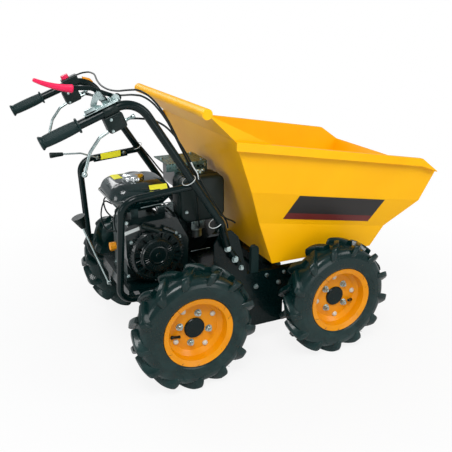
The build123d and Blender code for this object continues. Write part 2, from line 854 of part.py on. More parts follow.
def stop_button():
    """Return the round stop button on the switch's body."""
    button = Cylinder(button_radius, button_height)
    return handle_frame(button_distance, switch_top + button_height / 2) * button


def choke_lever():
    """Return the small lever in front of the switch's body."""
    lever = side_plate(choke_outline, handle_y - choke_width / 2, handle_y + choke_width / 2)
    return lever - handlebar()


def loop_bar_z(x):
    """Return the height of the guard loop's top bar at x."""
    return loop_rear_z + (loop_front_z - loop_rear_z) * (x - loop_rear_x) / (loop_front_x - loop_rear_x)


def gear_plate():
    """Return the plate on the left loop's top bar that guides the gear lever."""
    half = gear_plate_height / 2
    ends = (gear_plate_rear_x, gear_plate_front_x)
    points = [(x, loop_bar_z(x) - half) for x in ends] + [(x, loop_bar_z(x) + half) for x in reversed(ends)]
    y1 = loop_top_y - loop_radius
    return side_plate(points, y1 - gear_plate_sheet, y1)


def gear_rod_y():
    """Return the gear rod's place across the machine, against its plate."""
    return loop_top_y - loop_radius - gear_plate_sheet - gear_rod_radius


def gear_lever():
    """Return the gear lever's bent rod."""
    return tube([(x, gear_rod_y(), z) for x, z in gear_rod_route], gear_rod_radius, [gear_rod_bend])


def gear_knob():
    """Return the gear lever's knob."""
    (x0, z0), (x1, z1) = gear_rod_route[1:]
    knob = chamfer(Cylinder(gear_knob_radius, gear_knob_length).edges(), gear_knob_radius / 3)
    turn = degrees(atan2(x1 - x0, z1 - z0))
    return Pos(x1, gear_rod_y(), z1) * Rot(0, turn, 0) * Pos(0, 0, gear_knob_length / 2) * knob


def pedal_frame():
    """Return the location at the tall lever's foot, z along its rod, and the rod's length."""
    dx, dz = pedal_high[0] - pedal_low[0], pedal_high[1] - pedal_low[1]
    foot = Pos(pedal_low[0], pedal_y, pedal_low[1]) * Rot(0, degrees(atan2(dx, dz)), 0)
    return foot, sqrt(dx ** 2 + dz ** 2)


def tall_lever():
    """Return the tall rod lever at the rear, with its pivot boss on the deck's tab."""
    foot, run = pedal_frame()
    reach = 2 * (deck_rear_x - seat_gap - pedal_low[0])
    boss = Pos(pedal_low[0], pedal_y, pedal_low[1]) * Rot(0, 90, 0) * Cylinder(2 * pedal_rod_radius, reach)
    return foot * Pos(0, 0, run / 2) * Cylinder(pedal_rod_radius, run) + boss


def tall_lever_grip():
    """Return the flared grip at the tall lever's top."""
    foot, run = pedal_frame()
    low, high = pedal_grip_radii
    return foot * Pos(0, 0, run + pedal_grip_length / 2) * Cone(low, high, pedal_grip_length)


# Engine


def tilt_frame(distance):
    """Return the location along the cylinder's axis, with z along it."""
    turn = radians(cylinder_tilt)
    x = crank_x + distance * cos(turn)
    z = crank_z + distance * sin(turn)
    return Pos(x, 0, z) * Rot(0, 90 - cylinder_tilt, 0)


def crankcase():
    """Return the crankcase on its feet."""
    x0, x1 = crank_x - crankcase_half_width, crank_x + crankcase_half_width
    case = block(x0, x1, crankcase_near_y, crankcase_far_y, deck_top_z, crankcase_top_z)
    case = chamfer(case.edges().filter_by(Axis.Y), crankcase_corner)
    spread = engine_foot_spread
    return case + block(x0 - spread, x1 + spread, crankcase_near_y - spread, crankcase_far_y, deck_top_z,
                        deck_top_z + engine_foot_height)


def finned_cylinder():
    """Return the tilted barrel with its cooling fins, head and exhaust pipe."""
    length = fin_count * fin_pitch
    body = tilt_frame(cylinder_start + length / 2) * Box(*barrel_size, length)
    for i in range(fin_count):
        fin = Box(2 * fin_half_width, fin_depth, fin_thickness)
        body += tilt_frame(cylinder_start + fin_pitch * (i + 0.5)) * fin
    head = Box(2 * head_half_width, 2 * head_half_depth, head_length)
    body += tilt_frame(cylinder_start + length + head_length / 2) * head
    pipe_foot = Plane.XY.offset(muffler_bottom_z - exhaust_reach)
    pipe = extrude(pipe_foot * Circle(exhaust_radius), amount=exhaust_reach)
    return body + Pos(exhaust_x, (muffler_near_y + muffler_far_y) / 2, 0) * pipe


def tank_stays():
    """Return the folded stays that carry the tank over the crankcase."""
    low, high = crankcase_top_z - stay_overlap, tank_levels[0][0]
    stays = []
    for x in stay_xs:
        for y in (crankcase_near_y + stay_sheet, crankcase_far_y - 2 * stay_sheet):
            stays.append(block(x, x + stay_width, y, y + stay_sheet, low, high))
    return joined(stays)


def engine_block():
    """Return the engine's crankcase, cylinder and tank stays."""
    return crankcase() + finned_cylinder() + tank_stays()


def oil_cap():
    """Return the oil filler's plug at the crankcase's rear."""
    x = crank_x - crankcase_half_width - oil_cap_length / 2
    return Pos(x, oil_cap_y, oil_cap_z) * Rot(0, 90, 0) * Cylinder(oil_cap_radius, oil_cap_length)


def fan_housing():
    """Return the fan's housing: a drum with square shoulders under the tank."""
    y1 = crankcase_near_y - engine_foot_spread
    y0 = y1 - fan_depth
    r = fan_corner_radius
    pieces = [side_disc(crank_x, crank_z, fan_radius, y0, y1)]
    pieces += [side_disc(x, z, r, y0, y1) for x, z in fan_corners]
    (x0, z0), (x1, z1), (x2, z2), (x3, z3) = fan_corners
    fall = atan2(z1 - z2, x2 - x1)
    out_x, out_z = r * sin(fall), r * cos(fall)
    outline = [(x0 - r, crank_z), (x0 - r, z0), (x0, z0), (x0, z0 + r), (x1, z1 + r), (x1, z1)]
    outline += [(x1 + out_x, z1 + out_z), (x2 + out_x, z2 + out_z), (x2, z2)]
    outline += [(x2 + r, z2), (x3 + r, z3), (x3, z3), (crank_x, crank_z)]
    pieces.append(side_plate(outline, y0, y1))
    return joined(pieces)


def recoil_cover():
    """Return the starter's domed cover with its ring of slots and its pull handle."""
    y1 = crankcase_near_y - engine_foot_spread - fan_depth
    r = recoil_radius
    face = [(0, 0), (r, 0), (r, recoil_rim), (r - recoil_rim, recoil_shelf)]
    face += [(recoil_dome_radius + recoil_rim, recoil_shelf), (recoil_dome_radius, recoil_depth)]
    face += [(0, recoil_depth)]
    cover = ring(face)
    inner, outer = recoil_slot_radii
    slot_y = recoil_slot_floor + recoil_depth / 2
    for spot in PolarLocations((inner + outer) / 2, recoil_slots):
        slot = Rot(0, -spot.orientation.Z, 0) * Box(outer - inner, recoil_depth, recoil_slot_width)
        cover -= Pos(spot.position.X, slot_y, spot.position.Y) * slot
    turn = radians(pull_angle)
    pull = Rot(0, pull_angle, 0) * Cylinder(pull_radius, pull_length)
    cover += Pos(r * cos(turn), recoil_shelf / 2, -r * sin(turn)) * pull
    return Pos(crank_x, y1, crank_z) * Rot(180, 0, 0) * cover


def fuel_tank():
    """Return the pressed tank: two tapered halves that meet at a seam."""
    centre = ((tank_rear_x + tank_front_x) / 2, (tank_near_y + tank_far_y) / 2)
    long, wide = tank_front_x - tank_rear_x, tank_far_y - tank_near_y
    levels = []
    for z, inset in tank_levels:
        corner = tank_corner - inset / 3
        levels.append(Pos(*centre, z) * RectangleRounded(long - 2 * inset, wide - 2 * inset, corner))
    return joined([loft([low, high], ruled=True) for low, high in zip(levels, levels[1:])])


def fuel_cap():
    """Return the round filler cap on the tank."""
    base = Pos(cap_x, cap_y, tank_levels[-1][0] + cap_height / 2) * Cylinder(cap_radius, cap_height)
    return chamfer(base.edges().group_by(Axis.Z)[-1], cap_edge)


def air_filter():
    """Return the air filter's box."""
    body = block(filter_rear_x, filter_front_x, filter_near_y, filter_far_y, filter_bottom_z, filter_top_z)
    body = fillet(body.edges().filter_by(Axis.Y).group_by(Axis.Z)[-1], filter_top_corner)
    return fillet(body.edges().filter_by(Axis.Y).group_by(Axis.Z)[0], filter_low_corner)


def carburettor():
    """Return the carburettor under the filter, with its bowl."""
    half = carburettor_width / 2
    near_y = -head_half_depth - carburettor_depth
    low = filter_bottom_z - carburettor_height
    body = block(carburettor_x - half, carburettor_x + half, near_y, -head_half_depth, low, filter_bottom_z)
    bowl = Pos(carburettor_x, near_y + carburettor_depth / 2, low - bowl_height / 2)
    return body + bowl * Cylinder(bowl_radius, bowl_height)


def muffler():
    """Return the silencer over the exhaust pipe."""
    ends = (muffler_rear_x, muffler_front_x)
    body = block(*ends, muffler_near_y, muffler_far_y, muffler_bottom_z, muffler_top_z)
    return fillet(body.edges().filter_by(Axis.Y), muffler_corner)


def muffler_guard():
    """Return the slotted heat guard that stands on the silencer by two tabs."""
    s = guard_sheet
    low = muffler_top_z + guard_gap
    near_y = muffler_near_y - guard_gap
    short, deep = guard_skirts
    top = block(guard_rear_x, guard_front_x, near_y, muffler_far_y, low, low + s)
    skirt = block(guard_rear_x, guard_front_x, near_y - s, near_y, low - short, low + s)
    skirt += block(guard_step_x, guard_front_x, near_y - s, near_y, low - deep, low)
    middle_x = (guard_step_x + guard_front_x) / 2
    for i in range(guard_slot_columns):
        x = middle_x + (i - (guard_slot_columns - 1) / 2) * guard_slot_pitch[0]
        for j in range(guard_slot_rows):
            z = low - deep / 2 + (j - (guard_slot_rows - 1) / 2) * guard_slot_pitch[1]
            skirt -= Pos(x, near_y, z) * Box(guard_slot_size[0], 4 * s, guard_slot_size[1])
    tabs = []
    for x in (muffler_rear_x + muffler_corner, muffler_front_x - muffler_corner - 2 * s):
        tabs.append(block(x, x + 2 * s, muffler_near_y, muffler_near_y + 4 * s, muffler_top_z, low))
    return joined([top, skirt] + tabs)


def belt_cover():
    """Return the closed cover of the belt on the engine's far side."""
    far_y = crankcase_far_y + belt_cover_depth
    start, end = (crank_x, crank_z), (belt_front_x, belt_front_z)
    return side_slot(start, end, belt_cover_radius, crankcase_far_y, far_y)


# Control cables


def cable(points):
    """Return one sheathed cable; each bend's radius is the largest that its two runs share out."""
    corners = [Vector(*point) for point in points]
    radii = []
    for a, b, c in zip(corners, corners[1:], corners[2:]):
        turn = radians((b - a).get_angle(c - b))
        radii.append(cable_bend_share * min((b - a).length, (c - b).length) / tan(turn / 2))
    return tube(points, cable_radius, radii)


def control_cables():
    """Return the cables from the hand controls to the chassis and the engine."""
    return joined([cable(points) for points in cable_routes.values()])


def build():
    """Return every piece by its node name."""
    runner = skip_runner()
    pieces = wheels()
    pieces["skip_tub"] = skip_tub()
    pieces["skip_runners"] = runner + other_side(runner, -1)
    case = chain_case()
    pieces["chain_cases"] = case + other_side(case, -1)
    for kind, shape in (("handlebar", handlebar()), ("guard_loop", guard_loop())):
        for name, side in sides.items():
            pieces[f"{kind}_{name}"] = other_side(shape, side)
    makers = [chassis_frame, engine_deck, rest_pads, hinge_pin, rear_buffer, gearbox, belly_pan]
    makers += [handle_grips, lever_housings, clutch_levers, lever_bracket, release_lever, release_grip]
    makers += [throttle_control, stop_button, choke_lever, gear_plate, gear_lever, gear_knob]
    makers += [tall_lever, tall_lever_grip, engine_block, oil_cap, fan_housing, recoil_cover]
    makers += [fuel_tank, fuel_cap, air_filter, carburettor, muffler, muffler_guard, belt_cover, control_cables]
    for make in makers:
        pieces[make.__name__] = make()
    return pieces


os.makedirs("parts", exist_ok=True)
for node, shape in build().items():
    export_step(Pos(-origin_ahead, 0, tyre_radius) * shape, f"parts/{node}.step")
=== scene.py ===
# %% [markdown]
# # A walk-behind site dumper, dressed for its picture
# The machine's tubes, sheets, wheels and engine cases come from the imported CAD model. This script
# adds what a fitter would recognise it by: lugged tyres, bolts, ribs, seams, cables and finishes.
# Everything is in metres in the CAD model's own frame: +X forward, +Y to the machine's left, +Z up.

# %% Load the frame
import json
import math

import bmesh
import bpy
import numpy as np
from mathutils import Matrix, Vector


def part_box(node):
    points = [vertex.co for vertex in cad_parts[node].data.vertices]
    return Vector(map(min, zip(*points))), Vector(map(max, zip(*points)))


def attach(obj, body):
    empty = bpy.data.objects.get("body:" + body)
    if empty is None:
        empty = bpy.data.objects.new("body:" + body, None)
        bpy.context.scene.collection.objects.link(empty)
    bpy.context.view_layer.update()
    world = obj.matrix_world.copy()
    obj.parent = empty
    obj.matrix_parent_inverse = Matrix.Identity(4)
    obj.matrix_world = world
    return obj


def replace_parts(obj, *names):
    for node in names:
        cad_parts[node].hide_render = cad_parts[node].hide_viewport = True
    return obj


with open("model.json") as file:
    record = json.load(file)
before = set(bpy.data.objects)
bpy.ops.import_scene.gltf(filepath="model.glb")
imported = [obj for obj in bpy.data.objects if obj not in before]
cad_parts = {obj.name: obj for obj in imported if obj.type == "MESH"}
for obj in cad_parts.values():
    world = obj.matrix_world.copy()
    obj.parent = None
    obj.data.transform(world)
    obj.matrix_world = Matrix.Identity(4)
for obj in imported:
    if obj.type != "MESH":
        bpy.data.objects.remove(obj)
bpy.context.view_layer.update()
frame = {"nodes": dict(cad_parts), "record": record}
nodes = frame["nodes"]

# %% [markdown]
# ## Where things are
# Boxes of CAD nodes give the places of the added pieces, so they follow the CAD model when it
# changes. `mid_x` is the middle of the wheelbase, from which lengths along the machine were measured.
# `NEAR` points out of the right side, the one that the picture shows, and `FAR` out of the left.

# %% Reference places
MM = 0.001
AHEAD, FAR, UP = np.eye(3)
NEAR = -FAR


def middle(node):
    """Middle of a CAD node's box: half the sum of its two corners."""
    low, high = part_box(node)
    return (np.array(low) + np.array(high)) / 2


mid_x = (middle("hub_front_right")[0] + middle("hub_rear_right")[0]) / 2
axle_z = middle("rim_front_right")[2]
print("wheelbase middle at x =", round(mid_x, 4), "axle at z =", round(axle_z, 4))


def at(x, y, z):
    """A place given in millimetres from the wheelbase's middle, the centre plane and the ground."""
    return np.stack(np.broadcast_arrays(mid_x + x * MM, y * MM, z * MM), -1)


# %% [markdown]
# ## Surfaces from two parameters
# Each new piece is one or more grids of points: row i and column j of an array hold one point. A
# grid may be closed along either direction, and a row whose points coincide is a pole. The grids of
# a piece are merged into one mesh, coincident points are welded and the faces are turned outwards.

# %% Grids to meshes
def quads(rows, columns, wrap_rows=False, wrap_columns=True):
    """Corner numbers of the faces between neighbouring rows and columns of a grid."""
    i = np.arange(rows if wrap_rows else rows - 1)
    j = np.arange(columns if wrap_columns else columns - 1)
    i, j = np.meshgrid(i, j, indexing="ij")
    a, b = i * columns + j, i * columns + (j + 1) % columns
    c, d = ((i + 1) % rows) * columns + (j + 1) % columns, ((i + 1) % rows) * columns + j
    return np.stack([a, b, c, d], -1).reshape(-1, 4)


def patch(grid, wrap_rows=False, wrap_columns=True):
    """A grid of points as a flat list of points with the faces between them."""
    rows, columns = grid.shape[:2]
    return grid.reshape(-1, 3), quads(rows, columns, wrap_rows, wrap_columns)


def make_piece(name, patches, finish, body="chassis", crease=35.0):
    """Join patches into one welded mesh that rides on a body and carries a finish.

    Edges whose faces meet at more than the crease, in degrees, are shaded sharp.
    """
    points = np.concatenate([p for p, _ in patches])
    starts = np.cumsum([0] + [len(p) for p, _ in patches[:-1]])
    faces = np.concatenate([f + s for (_, f), s in zip(patches, starts)])
    mesh = bpy.data.meshes.new(name)
    mesh.from_pydata(points.tolist(), [], faces.tolist())
    work = bmesh.new()
    work.from_mesh(mesh)
    bmesh.ops.remove_doubles(work, verts=work.verts, dist=2e-6)
    bmesh.ops.recalc_face_normals(work, faces=work.faces)
    work.to_mesh(mesh)
    work.free()
    mesh.polygons.foreach_set("use_smooth", np.ones(len(mesh.polygons), bool))
    mesh.set_sharp_from_angle(angle=math.radians(crease))
    piece = bpy.data.objects.new(name, mesh)
    bpy.context.scene.collection.objects.link(piece)
    mesh.materials.append(finish)
    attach(piece, body)
    print(name, "faces", len(mesh.polygons), "on", body)
    return piece


# %% [markdown]
# ## Turned shapes
# Caps, studs and bowls are turned on a lathe: a profile goes round an axis. `basis` makes the three
# directions that a small shape is set on, from the direction that its axis points to. The sizes of
# all small shapes are in millimetres, and the places that they are set at are points of the frame.

# %% Turned shapes
def basis(axis, across=UP):
    """Rows are three square directions: the third is the axis, the first leans to `across`."""
    axis = np.array(axis, float) / np.linalg.norm(axis)
    across = np.array(across, float)
    if abs(axis @ across) > 0.95 * np.linalg.norm(across):
        across = AHEAD
    first = across - (across @ axis) * axis
    first /= np.linalg.norm(first)
    return np.stack([first, np.cross(axis, first), axis])


def closed(grid):
    """A patch with a pole added at each end, where every point lies at the end row's middle."""
    poles = [np.broadcast_to(row.mean(0), row.shape) for row in (grid[0], grid[-1])]
    return patch(np.stack([poles[0], *grid, poles[1]]))


def lathe(profile, place, axis, sides=24, flats=0, round_rows=()):
    """Points at radius r and height h of each profile row, turned about the axis.

    With flats, the radius grows towards the corners as 1 / cos of the angle from the flat's
    middle, except on the rows named round.
    """
    profile = np.array(profile, float) * MM
    turn = np.linspace(0, 2 * math.pi, sides, endpoint=False)
    radius = np.repeat(profile[:, :1], sides, 1)
    if flats:
        half = math.pi / flats
        stretch = 1 / np.cos((turn + half) % (2 * half) - half)
        is_flat = np.array([i not in round_rows for i in range(len(profile))])[:, None]
        radius = radius * np.where(is_flat, stretch[None], 1.0)
    local = np.stack([radius * np.cos(turn), radius * np.sin(turn),
                      np.repeat(profile[:, 1:], sides, 1)], -1)
    return patch(np.array(place) + local @ basis(axis))


# %% [markdown]
# ## Lines and tubes
# Cables, rods and grips are tubes: a circle carried along a curve. The curve passes through a few
# measured places, and its radius may change on the way.

# %% Lines and tubes
def smooth_line(points, count):
    """A curve through the points, each span a cubic whose slope follows the neighbouring points."""
    points = np.array(points, float)
    span = np.linspace(0, len(points) - 1, count)
    i = np.minimum(span.astype(int), len(points) - 2)
    t = (span - i)[:, None]
    p0 = np.vstack([2 * points[0] - points[1], points])[i]
    p1, p2 = points[i], points[i + 1]
    p3 = np.vstack([points, 2 * points[-1] - points[-2]])[i + 2]
    return 0.5 * (2 * p1 + (p2 - p0) * t + (2 * p0 - 5 * p1 + 4 * p2 - p3) * t ** 2
                  + (3 * p1 - p0 - 3 * p2 + p3) * t ** 3)


def route(places, count):
    """A smooth line through places given in millimetres, as `at` takes them."""
    return smooth_line(at(*np.array(places, float).T), count)


def tube(line, radius, sides=12):
    """A circle carried along a line of points and closed at both ends by a pole.

    The circle stays square to the line, and its first direction is carried from point to point
    by removing the part that lies along the line.
    """
    line = np.array(line, float)
    radius = np.broadcast_to(np.asarray(radius, float), (len(line),)) * MM
    ahead = np.gradient(line, axis=0)
    ahead /= np.linalg.norm(ahead, axis=1)[:, None]
    first = [basis(ahead[0])[0]]
    for direction in ahead[1:]:
        side = first[-1] - (first[-1] @ direction) * direction
        first.append(side / np.linalg.norm(side))
    first = np.array(first)
    second = np.cross(ahead, first)
    turn = np.linspace(0, 2 * math.pi, sides, endpoint=False)
    ring = np.cos(turn)[None, :, None] * first[:, None] + np.sin(turn)[None, :, None] * second[:, None]
    return closed(line[:, None] + radius[:, None, None] * ring)


# %% [markdown]
# ## Boxes and bolts
# Cast ribs are boxes with round edges, so they catch the light as castings do. Bolt heads are turned
# profiles with six flats; one function makes them all, because the machine wears about a hundred.

# %% Boxes and bolts
def corner_turns(fine):
    """Angles of four quarter circles, and the signs of the corner that each angle belongs to."""
    quarter = np.linspace(0, math.pi / 2, fine)
    turn = np.concatenate([quarter + k * math.pi / 2 for k in range(4)])
    return turn, np.repeat([(1, 1), (-1, 1), (-1, -1), (1, -1)], fine, 0)


def rounded_box(size, place, axis, across, corner, fine=4):
    """A sphere of the corner radius whose eighths are pushed apart to the box's corners.

    Along both angles each eighth takes an equal number of steps, so the flats are one face wide.
    """
    half = np.array(size, float) / 2 - corner
    lon, sign_lon = corner_turns(fine)
    quarter = lon[:fine]
    sign_lat = np.repeat([-1, 1], fine)
    lat, lon = np.meshgrid(np.concatenate([quarter - math.pi / 2, quarter]), lon, indexing="ij")
    ball = np.stack([np.cos(lat) * np.cos(lon), np.cos(lat) * np.sin(lon), np.sin(lat)], -1)
    push = np.empty_like(ball)
    push[..., :2] = sign_lon[None] * half[:2]
    push[..., 2] = sign_lat[:, None] * half[2]
    return closed(np.array(place) + (corner * ball + push) * MM @ basis(axis, across))


def hex_bolt(place, axis, across_flats, height, washer):
    """A washer and a hexagonal head: the head's rows have six flats and its top is chamfered.

    The washer's thickness is given in shares of 0.16 times half the head's width.
    """
    r = across_flats / 2
    t = 0.16 * r * washer
    rows = [(0, 0), (1.4 * r, 0), (1.4 * r, t), (1.05 * r, t), (r, t), (r, t + 0.86 * height),
            (0.9 * r, t + height), (0, t + height)]
    return lathe(rows, place, axis, flats=6, round_rows=(0, 1, 2, 3, 6, 7))


# %% [markdown]
# ## Shader sums as Python sums
# A procedural finish is arithmetic on numbers that vary over the surface. `Field` wraps one socket
# and turns + - * / into Math nodes; `Paint` owns a material, adds any other node and feeds the shader.

# %% Paints
class Field:
    """A value that varies over a surface, held by a node's socket."""

    def __init__(self, paint, socket):
        self.paint, self.socket = paint, socket

    def maths(self, operation, *values):
        """One Math node on values or fields, in their order."""
        return self.paint.node("ShaderNodeMath", {"operation": operation}, dict(enumerate(values)))

    def __add__(self, other):
        return self.maths("ADD", self, other)

    def __sub__(self, other):
        return self.maths("SUBTRACT", self, other)

    def __rsub__(self, other):
        return self.maths("SUBTRACT", other, self)

    def __mul__(self, other):
        return self.maths("MULTIPLY", self, other)

    __radd__, __rmul__ = __add__, __mul__


class Paint:
    """A material built on one Principled shader; constant values go straight onto its sockets."""

    def __init__(self, name, **constants):
        self.material = bpy.data.materials.new(name)
        self.material.use_nodes = True
        self.tree = self.material.node_tree
        self.shader = self.tree.nodes["Principled BSDF"]
        for socket, value in constants.items():
            self.shader.inputs[socket.replace("_", " ")].default_value = value
        self.place = self.node("ShaderNodeTexCoord", {}, {}, "Object")

    def node(self, kind, settings, inputs, output=0):
        """Add a node: settings first, then the values or links of its sockets."""
        node = self.tree.nodes.new(kind)
        for key, value in settings.items():
            setattr(node, key, value)
        for key, value in inputs.items():
            if isinstance(value, Field):
                self.tree.links.new(value.socket, node.inputs[key])
            else:
                node.inputs[key].default_value = value
        return Field(self, node.outputs[output])

    def noise(self, scale, detail=2.0, rough=0.5):
        """Cloudy noise about 0.5; scale is in waves per metre."""
        return self.node("ShaderNodeTexNoise", {}, {"Vector": self.place, "Scale": scale, "Detail": detail,
                                                    "Roughness": rough})

    def ramp(self, value, low, high):
        """0 below low, 1 above high and a straight slope between."""
        return self.node("ShaderNodeMapRange", {}, {0: value, 1: low, 2: high})

    def mix(self, factor, colour_a, colour_b):
        """Colour A where the factor is 0 and colour B where it is 1."""
        return self.node("ShaderNodeMix", {"data_type": "RGBA"}, {0: factor, 6: colour_a, 7: colour_b}, 2)

    def height(self):
        """Height above the ground, in metres."""
        return self.node("ShaderNodeSeparateXYZ", {}, {0: self.place}, 2)

    def feed(self, **links):
        """Link fields to the shader's sockets by name."""
        for socket, field in links.items():
            self.tree.links.new(field.socket, self.shader.inputs[socket.replace("_", " ")])
        return self

    def bump(self, height, distance, strength=1.0):
        """Tilt the shading as a relief of this height would, its depth given in metres."""
        return self.feed(Normal=self.node("ShaderNodeBump", {}, {"Strength": strength, "Distance": distance,
                                                                 "Height": height}))


def rgb(red, green, blue):
    """Linear colour from the 0 to 255 values seen on a screen: the sRGB curve undone."""
    screen = np.array([red, green, blue]) / 255
    linear = np.where(screen <= 0.04045, screen / 12.92, ((screen + 0.055) / 1.055) ** 2.4)
    return (*linear.tolist(), 1.0)


# %% [markdown]
# ## Finishes
# One function makes each kind of finish: powder coat, rubber, plating, moulded plastic, and the
# pierced sheet of the silencer's guard, whose small holes are drawn by the finish as dark cells of
# painted shade in a pale web of painted sheen. Each has its own colour drift, roughness and relief,
# all small, as on a machine fresh from the works.

# %% Finishes
def coat(name, colour, shade, gloss, peel=900.0, depth=0.00006, drift=5.0, **constants):
    """Powder coat: slow drift between two close colours, and an orange peel of fine noise."""
    paint = Paint(name, **{"Coat_Roughness": 0.2, **constants})
    slow = paint.noise(drift, 3.0)
    fine = paint.noise(peel, 1.0)
    scuffs = paint.ramp(paint.noise(38.0, 5.0, 0.65), 0.6, 0.8)
    paint.feed(Base_Color=paint.mix(paint.ramp(slow, 0.3, 0.7), colour, shade))
    paint.feed(Roughness=gloss + fine * 0.05 + scuffs * 0.16)
    return paint.bump(fine, depth).material


def rubber(name, colour, dust, gloss, dust_height, **constants):
    """Rubber: mottled black that greys towards the ground, with a fine matt grain."""
    paint = Paint(name, **constants)
    grain = paint.noise(700.0, 2.0)
    patches = paint.noise(26.0, 4.0, 0.6)
    low = 1 - paint.ramp(paint.height(), 0.0, dust_height)
    dusty = paint.ramp(patches + low * 0.22, 0.52, 0.85)
    paint.feed(Base_Color=paint.mix(dusty, colour, dust), Roughness=gloss + patches * 0.18 + dusty * 0.12)
    return paint.bump(grain + patches * 0.8, 0.00018).material


def plated(name, colour, shade, gloss, metal=1.0):
    """Zinc or bright plating: metal with cloudy patches and a fine grain in its roughness."""
    paint = Paint(name, Metallic=metal)
    cloud = paint.noise(60.0, 4.0, 0.6)
    grain = paint.noise(420.0, 3.0, 0.6)
    paint.feed(Base_Color=paint.mix(paint.ramp(cloud, 0.35, 0.7), colour, shade),
               Roughness=gloss + cloud * 0.12 + grain * 0.1)
    return paint.bump(grain, 0.00003).material


def moulded(name, colour, shade, gloss, grain=1400.0, **constants):
    """Moulded plastic: an even colour with a leathery mould grain."""
    paint = Paint(name, **constants)
    fine = paint.noise(grain, 2.0)
    slow = paint.noise(18.0, 3.0)
    paint.feed(Base_Color=paint.mix(slow, colour, shade), Roughness=gloss + fine * 0.12 + slow * 0.08)
    return paint.bump(fine, 0.00008).material


def pierced(name, colour, hole_shade, gloss, pitch):
    """Pierced sheet: cells pitch metres apart, dark and sunk at their centres, the dark a painted shade and
    the pale web a painted sheen.
    """
    paint = Paint(name, Metallic=0.5)
    inputs = {"Vector": paint.place, "Scale": 1 / pitch, "Randomness": 0.2}
    sheen_web = paint.ramp(paint.node("ShaderNodeTexVoronoi", {}, inputs, "Distance"), 0.26, 0.42)
    tone = paint.noise(40.0, 3.0)
    paint.feed(Base_Color=paint.mix(sheen_web, hole_shade, colour), Roughness=gloss + tone * 0.15)
    return paint.bump(sheen_web, 0.0008).material


# %% [markdown]
# ## Colours
# The skip and rims wear a smooth powder coat, the frame a satin black one, and the tyres a dark
# rubber that greys with dust near the ground. Colours are given as a screen shows them. Each CAD
# node takes the finish of its slot, but the buffer is rubber and the guard is pierced sheet.

# %% Colours
skip_yellow = coat("skip_yellow", rgb(252, 187, 2), rgb(248, 177, 0), 0.36, Specular_IOR_Level=0.16,
                   Coat_Weight=0.03)
rim_orange = coat("rim_orange", rgb(228, 146, 0), rgb(218, 134, 0), 0.26, drift=14.0, Specular_IOR_Level=0.22,
                  Coat_Weight=0.1)
frame_black = coat("frame_black", rgb(3, 24, 24), rgb(2, 18, 18), 0.24, drift=11.0, Specular_IOR_Level=0.16,
                   Coat_Weight=0.14, Coat_Roughness=0.08)
engine_black = coat("engine_black", rgb(4, 24, 24), rgb(3, 17, 17), 0.26, drift=20.0, depth=0.0001,
                    Specular_IOR_Level=0.3, Coat_Weight=0.5, Coat_Roughness=0.07)
tank_black = coat("tank_black", rgb(6, 38, 38), rgb(4, 30, 30), 0.08, peel=300.0, depth=0.00001,
                  Coat_Weight=0.6)
tyre_black = rubber("tyre_black", rgb(5, 33, 32), rgb(22, 50, 49), 0.2, 0.30, Specular_IOR_Level=0.14,
                    Coat_Weight=0.42, Coat_Roughness=0.14)
grip_black = rubber("grip_black", rgb(9, 35, 35), rgb(18, 42, 42), 0.36, 0.01, Specular_IOR_Level=0.24)
zinc = plated("zinc", rgb(190, 206, 205), rgb(150, 168, 167), 0.2)
bright = plated("bright", rgb(228, 232, 232), rgb(200, 206, 206), 0.07)
# The guard's pale web is a painted sheen, and its dark holes are painted shade.
guard_sheet_sheen_and_shade = pierced("guard_sheet_sheen_and_shade", rgb(92, 124, 122), rgb(2, 8, 8), 0.2, 0.011)
cast = plated("cast", rgb(44, 64, 64), rgb(26, 42, 42), 0.36, metal=0.6)
plastic_black = moulded("plastic_black", rgb(5, 27, 25), rgb(4, 20, 19), 0.3, Specular_IOR_Level=0.28)
plastic_red = moulded("plastic_red", rgb(238, 16, 84), rgb(222, 12, 72), 0.3)
plastic_pale = moulded("plastic_pale", rgb(205, 205, 194), rgb(190, 190, 178), 0.45)
plastic_orange = moulded("plastic_orange", rgb(246, 162, 10), rgb(236, 150, 8), 0.35)
cable_sheath = moulded("cable_sheath", rgb(5, 24, 24), rgb(4, 18, 18), 0.26, 500.0, Specular_IOR_Level=0.3)
label_yellow = moulded("label_yellow", rgb(246, 242, 50), rgb(236, 232, 42), 0.4, 300.0)
label_white = moulded("label_white", rgb(206, 212, 210), rgb(190, 197, 195), 0.4, 300.0)
panel_black = moulded("panel_black", rgb(26, 22, 20), rgb(20, 17, 16), 0.3, 300.0)
panel_red = moulded("panel_red", rgb(104, 24, 18), rgb(90, 18, 14), 0.3, 300.0)

by_slot = {
    "skip_paint": skip_yellow, "rim_paint": rim_orange, "frame_black": frame_black, "tyre_rubber": tyre_black,
    "grip_rubber": grip_black, "pad_rubber": grip_black, "zinc": zinc, "engine_black": engine_black,
    "engine_cast": cast, "black_plastic": plastic_black, "chrome": bright, "red_plastic": plastic_red,
    "pale_plastic": plastic_pale, "orange_plastic": plastic_orange, "cable_black": cable_sheath,
}
for entry in frame["record"]["subparts"]:
    node = nodes[entry["node"]]
    node.data.materials.clear()
    node.data.materials.append(by_slot[entry["material_slot"]])
nodes["rear_buffer"].data.materials[0] = grip_black
nodes["muffler_guard"].data.materials[0] = guard_sheet_sheen_and_shade
print("finishes:", len(by_slot), "on", len(nodes), "nodes")

# %% [markdown]
# ## Tyres: the carcass
# A lugged tyre is a rounded carcass with two rows of slanted bars. The carcass could be a torus, but
# its side wall is flatter and has raised rings, so it is a measured profile turned about the axle.

# %% Tyre carcass
# Rows of radius and offset from the wheel's middle plane.
CARCASS_MM = [(101.4, 37.0), (113.0, 41.0), (117.5, 44.2), (122.0, 46.2), (134.0, 48.4), (149.0, 48.6),
              (162.0, 46.6), (173.0, 42.4), (181.0, 35.0), (186.5, 22.0), (189.0, 0.0)]
# Radius of each raised ring on the side wall and how far it stands out.
WALL_RINGS_MM = ((124.0, 1.1), (141.0, 0.5), (156.0, 0.7))


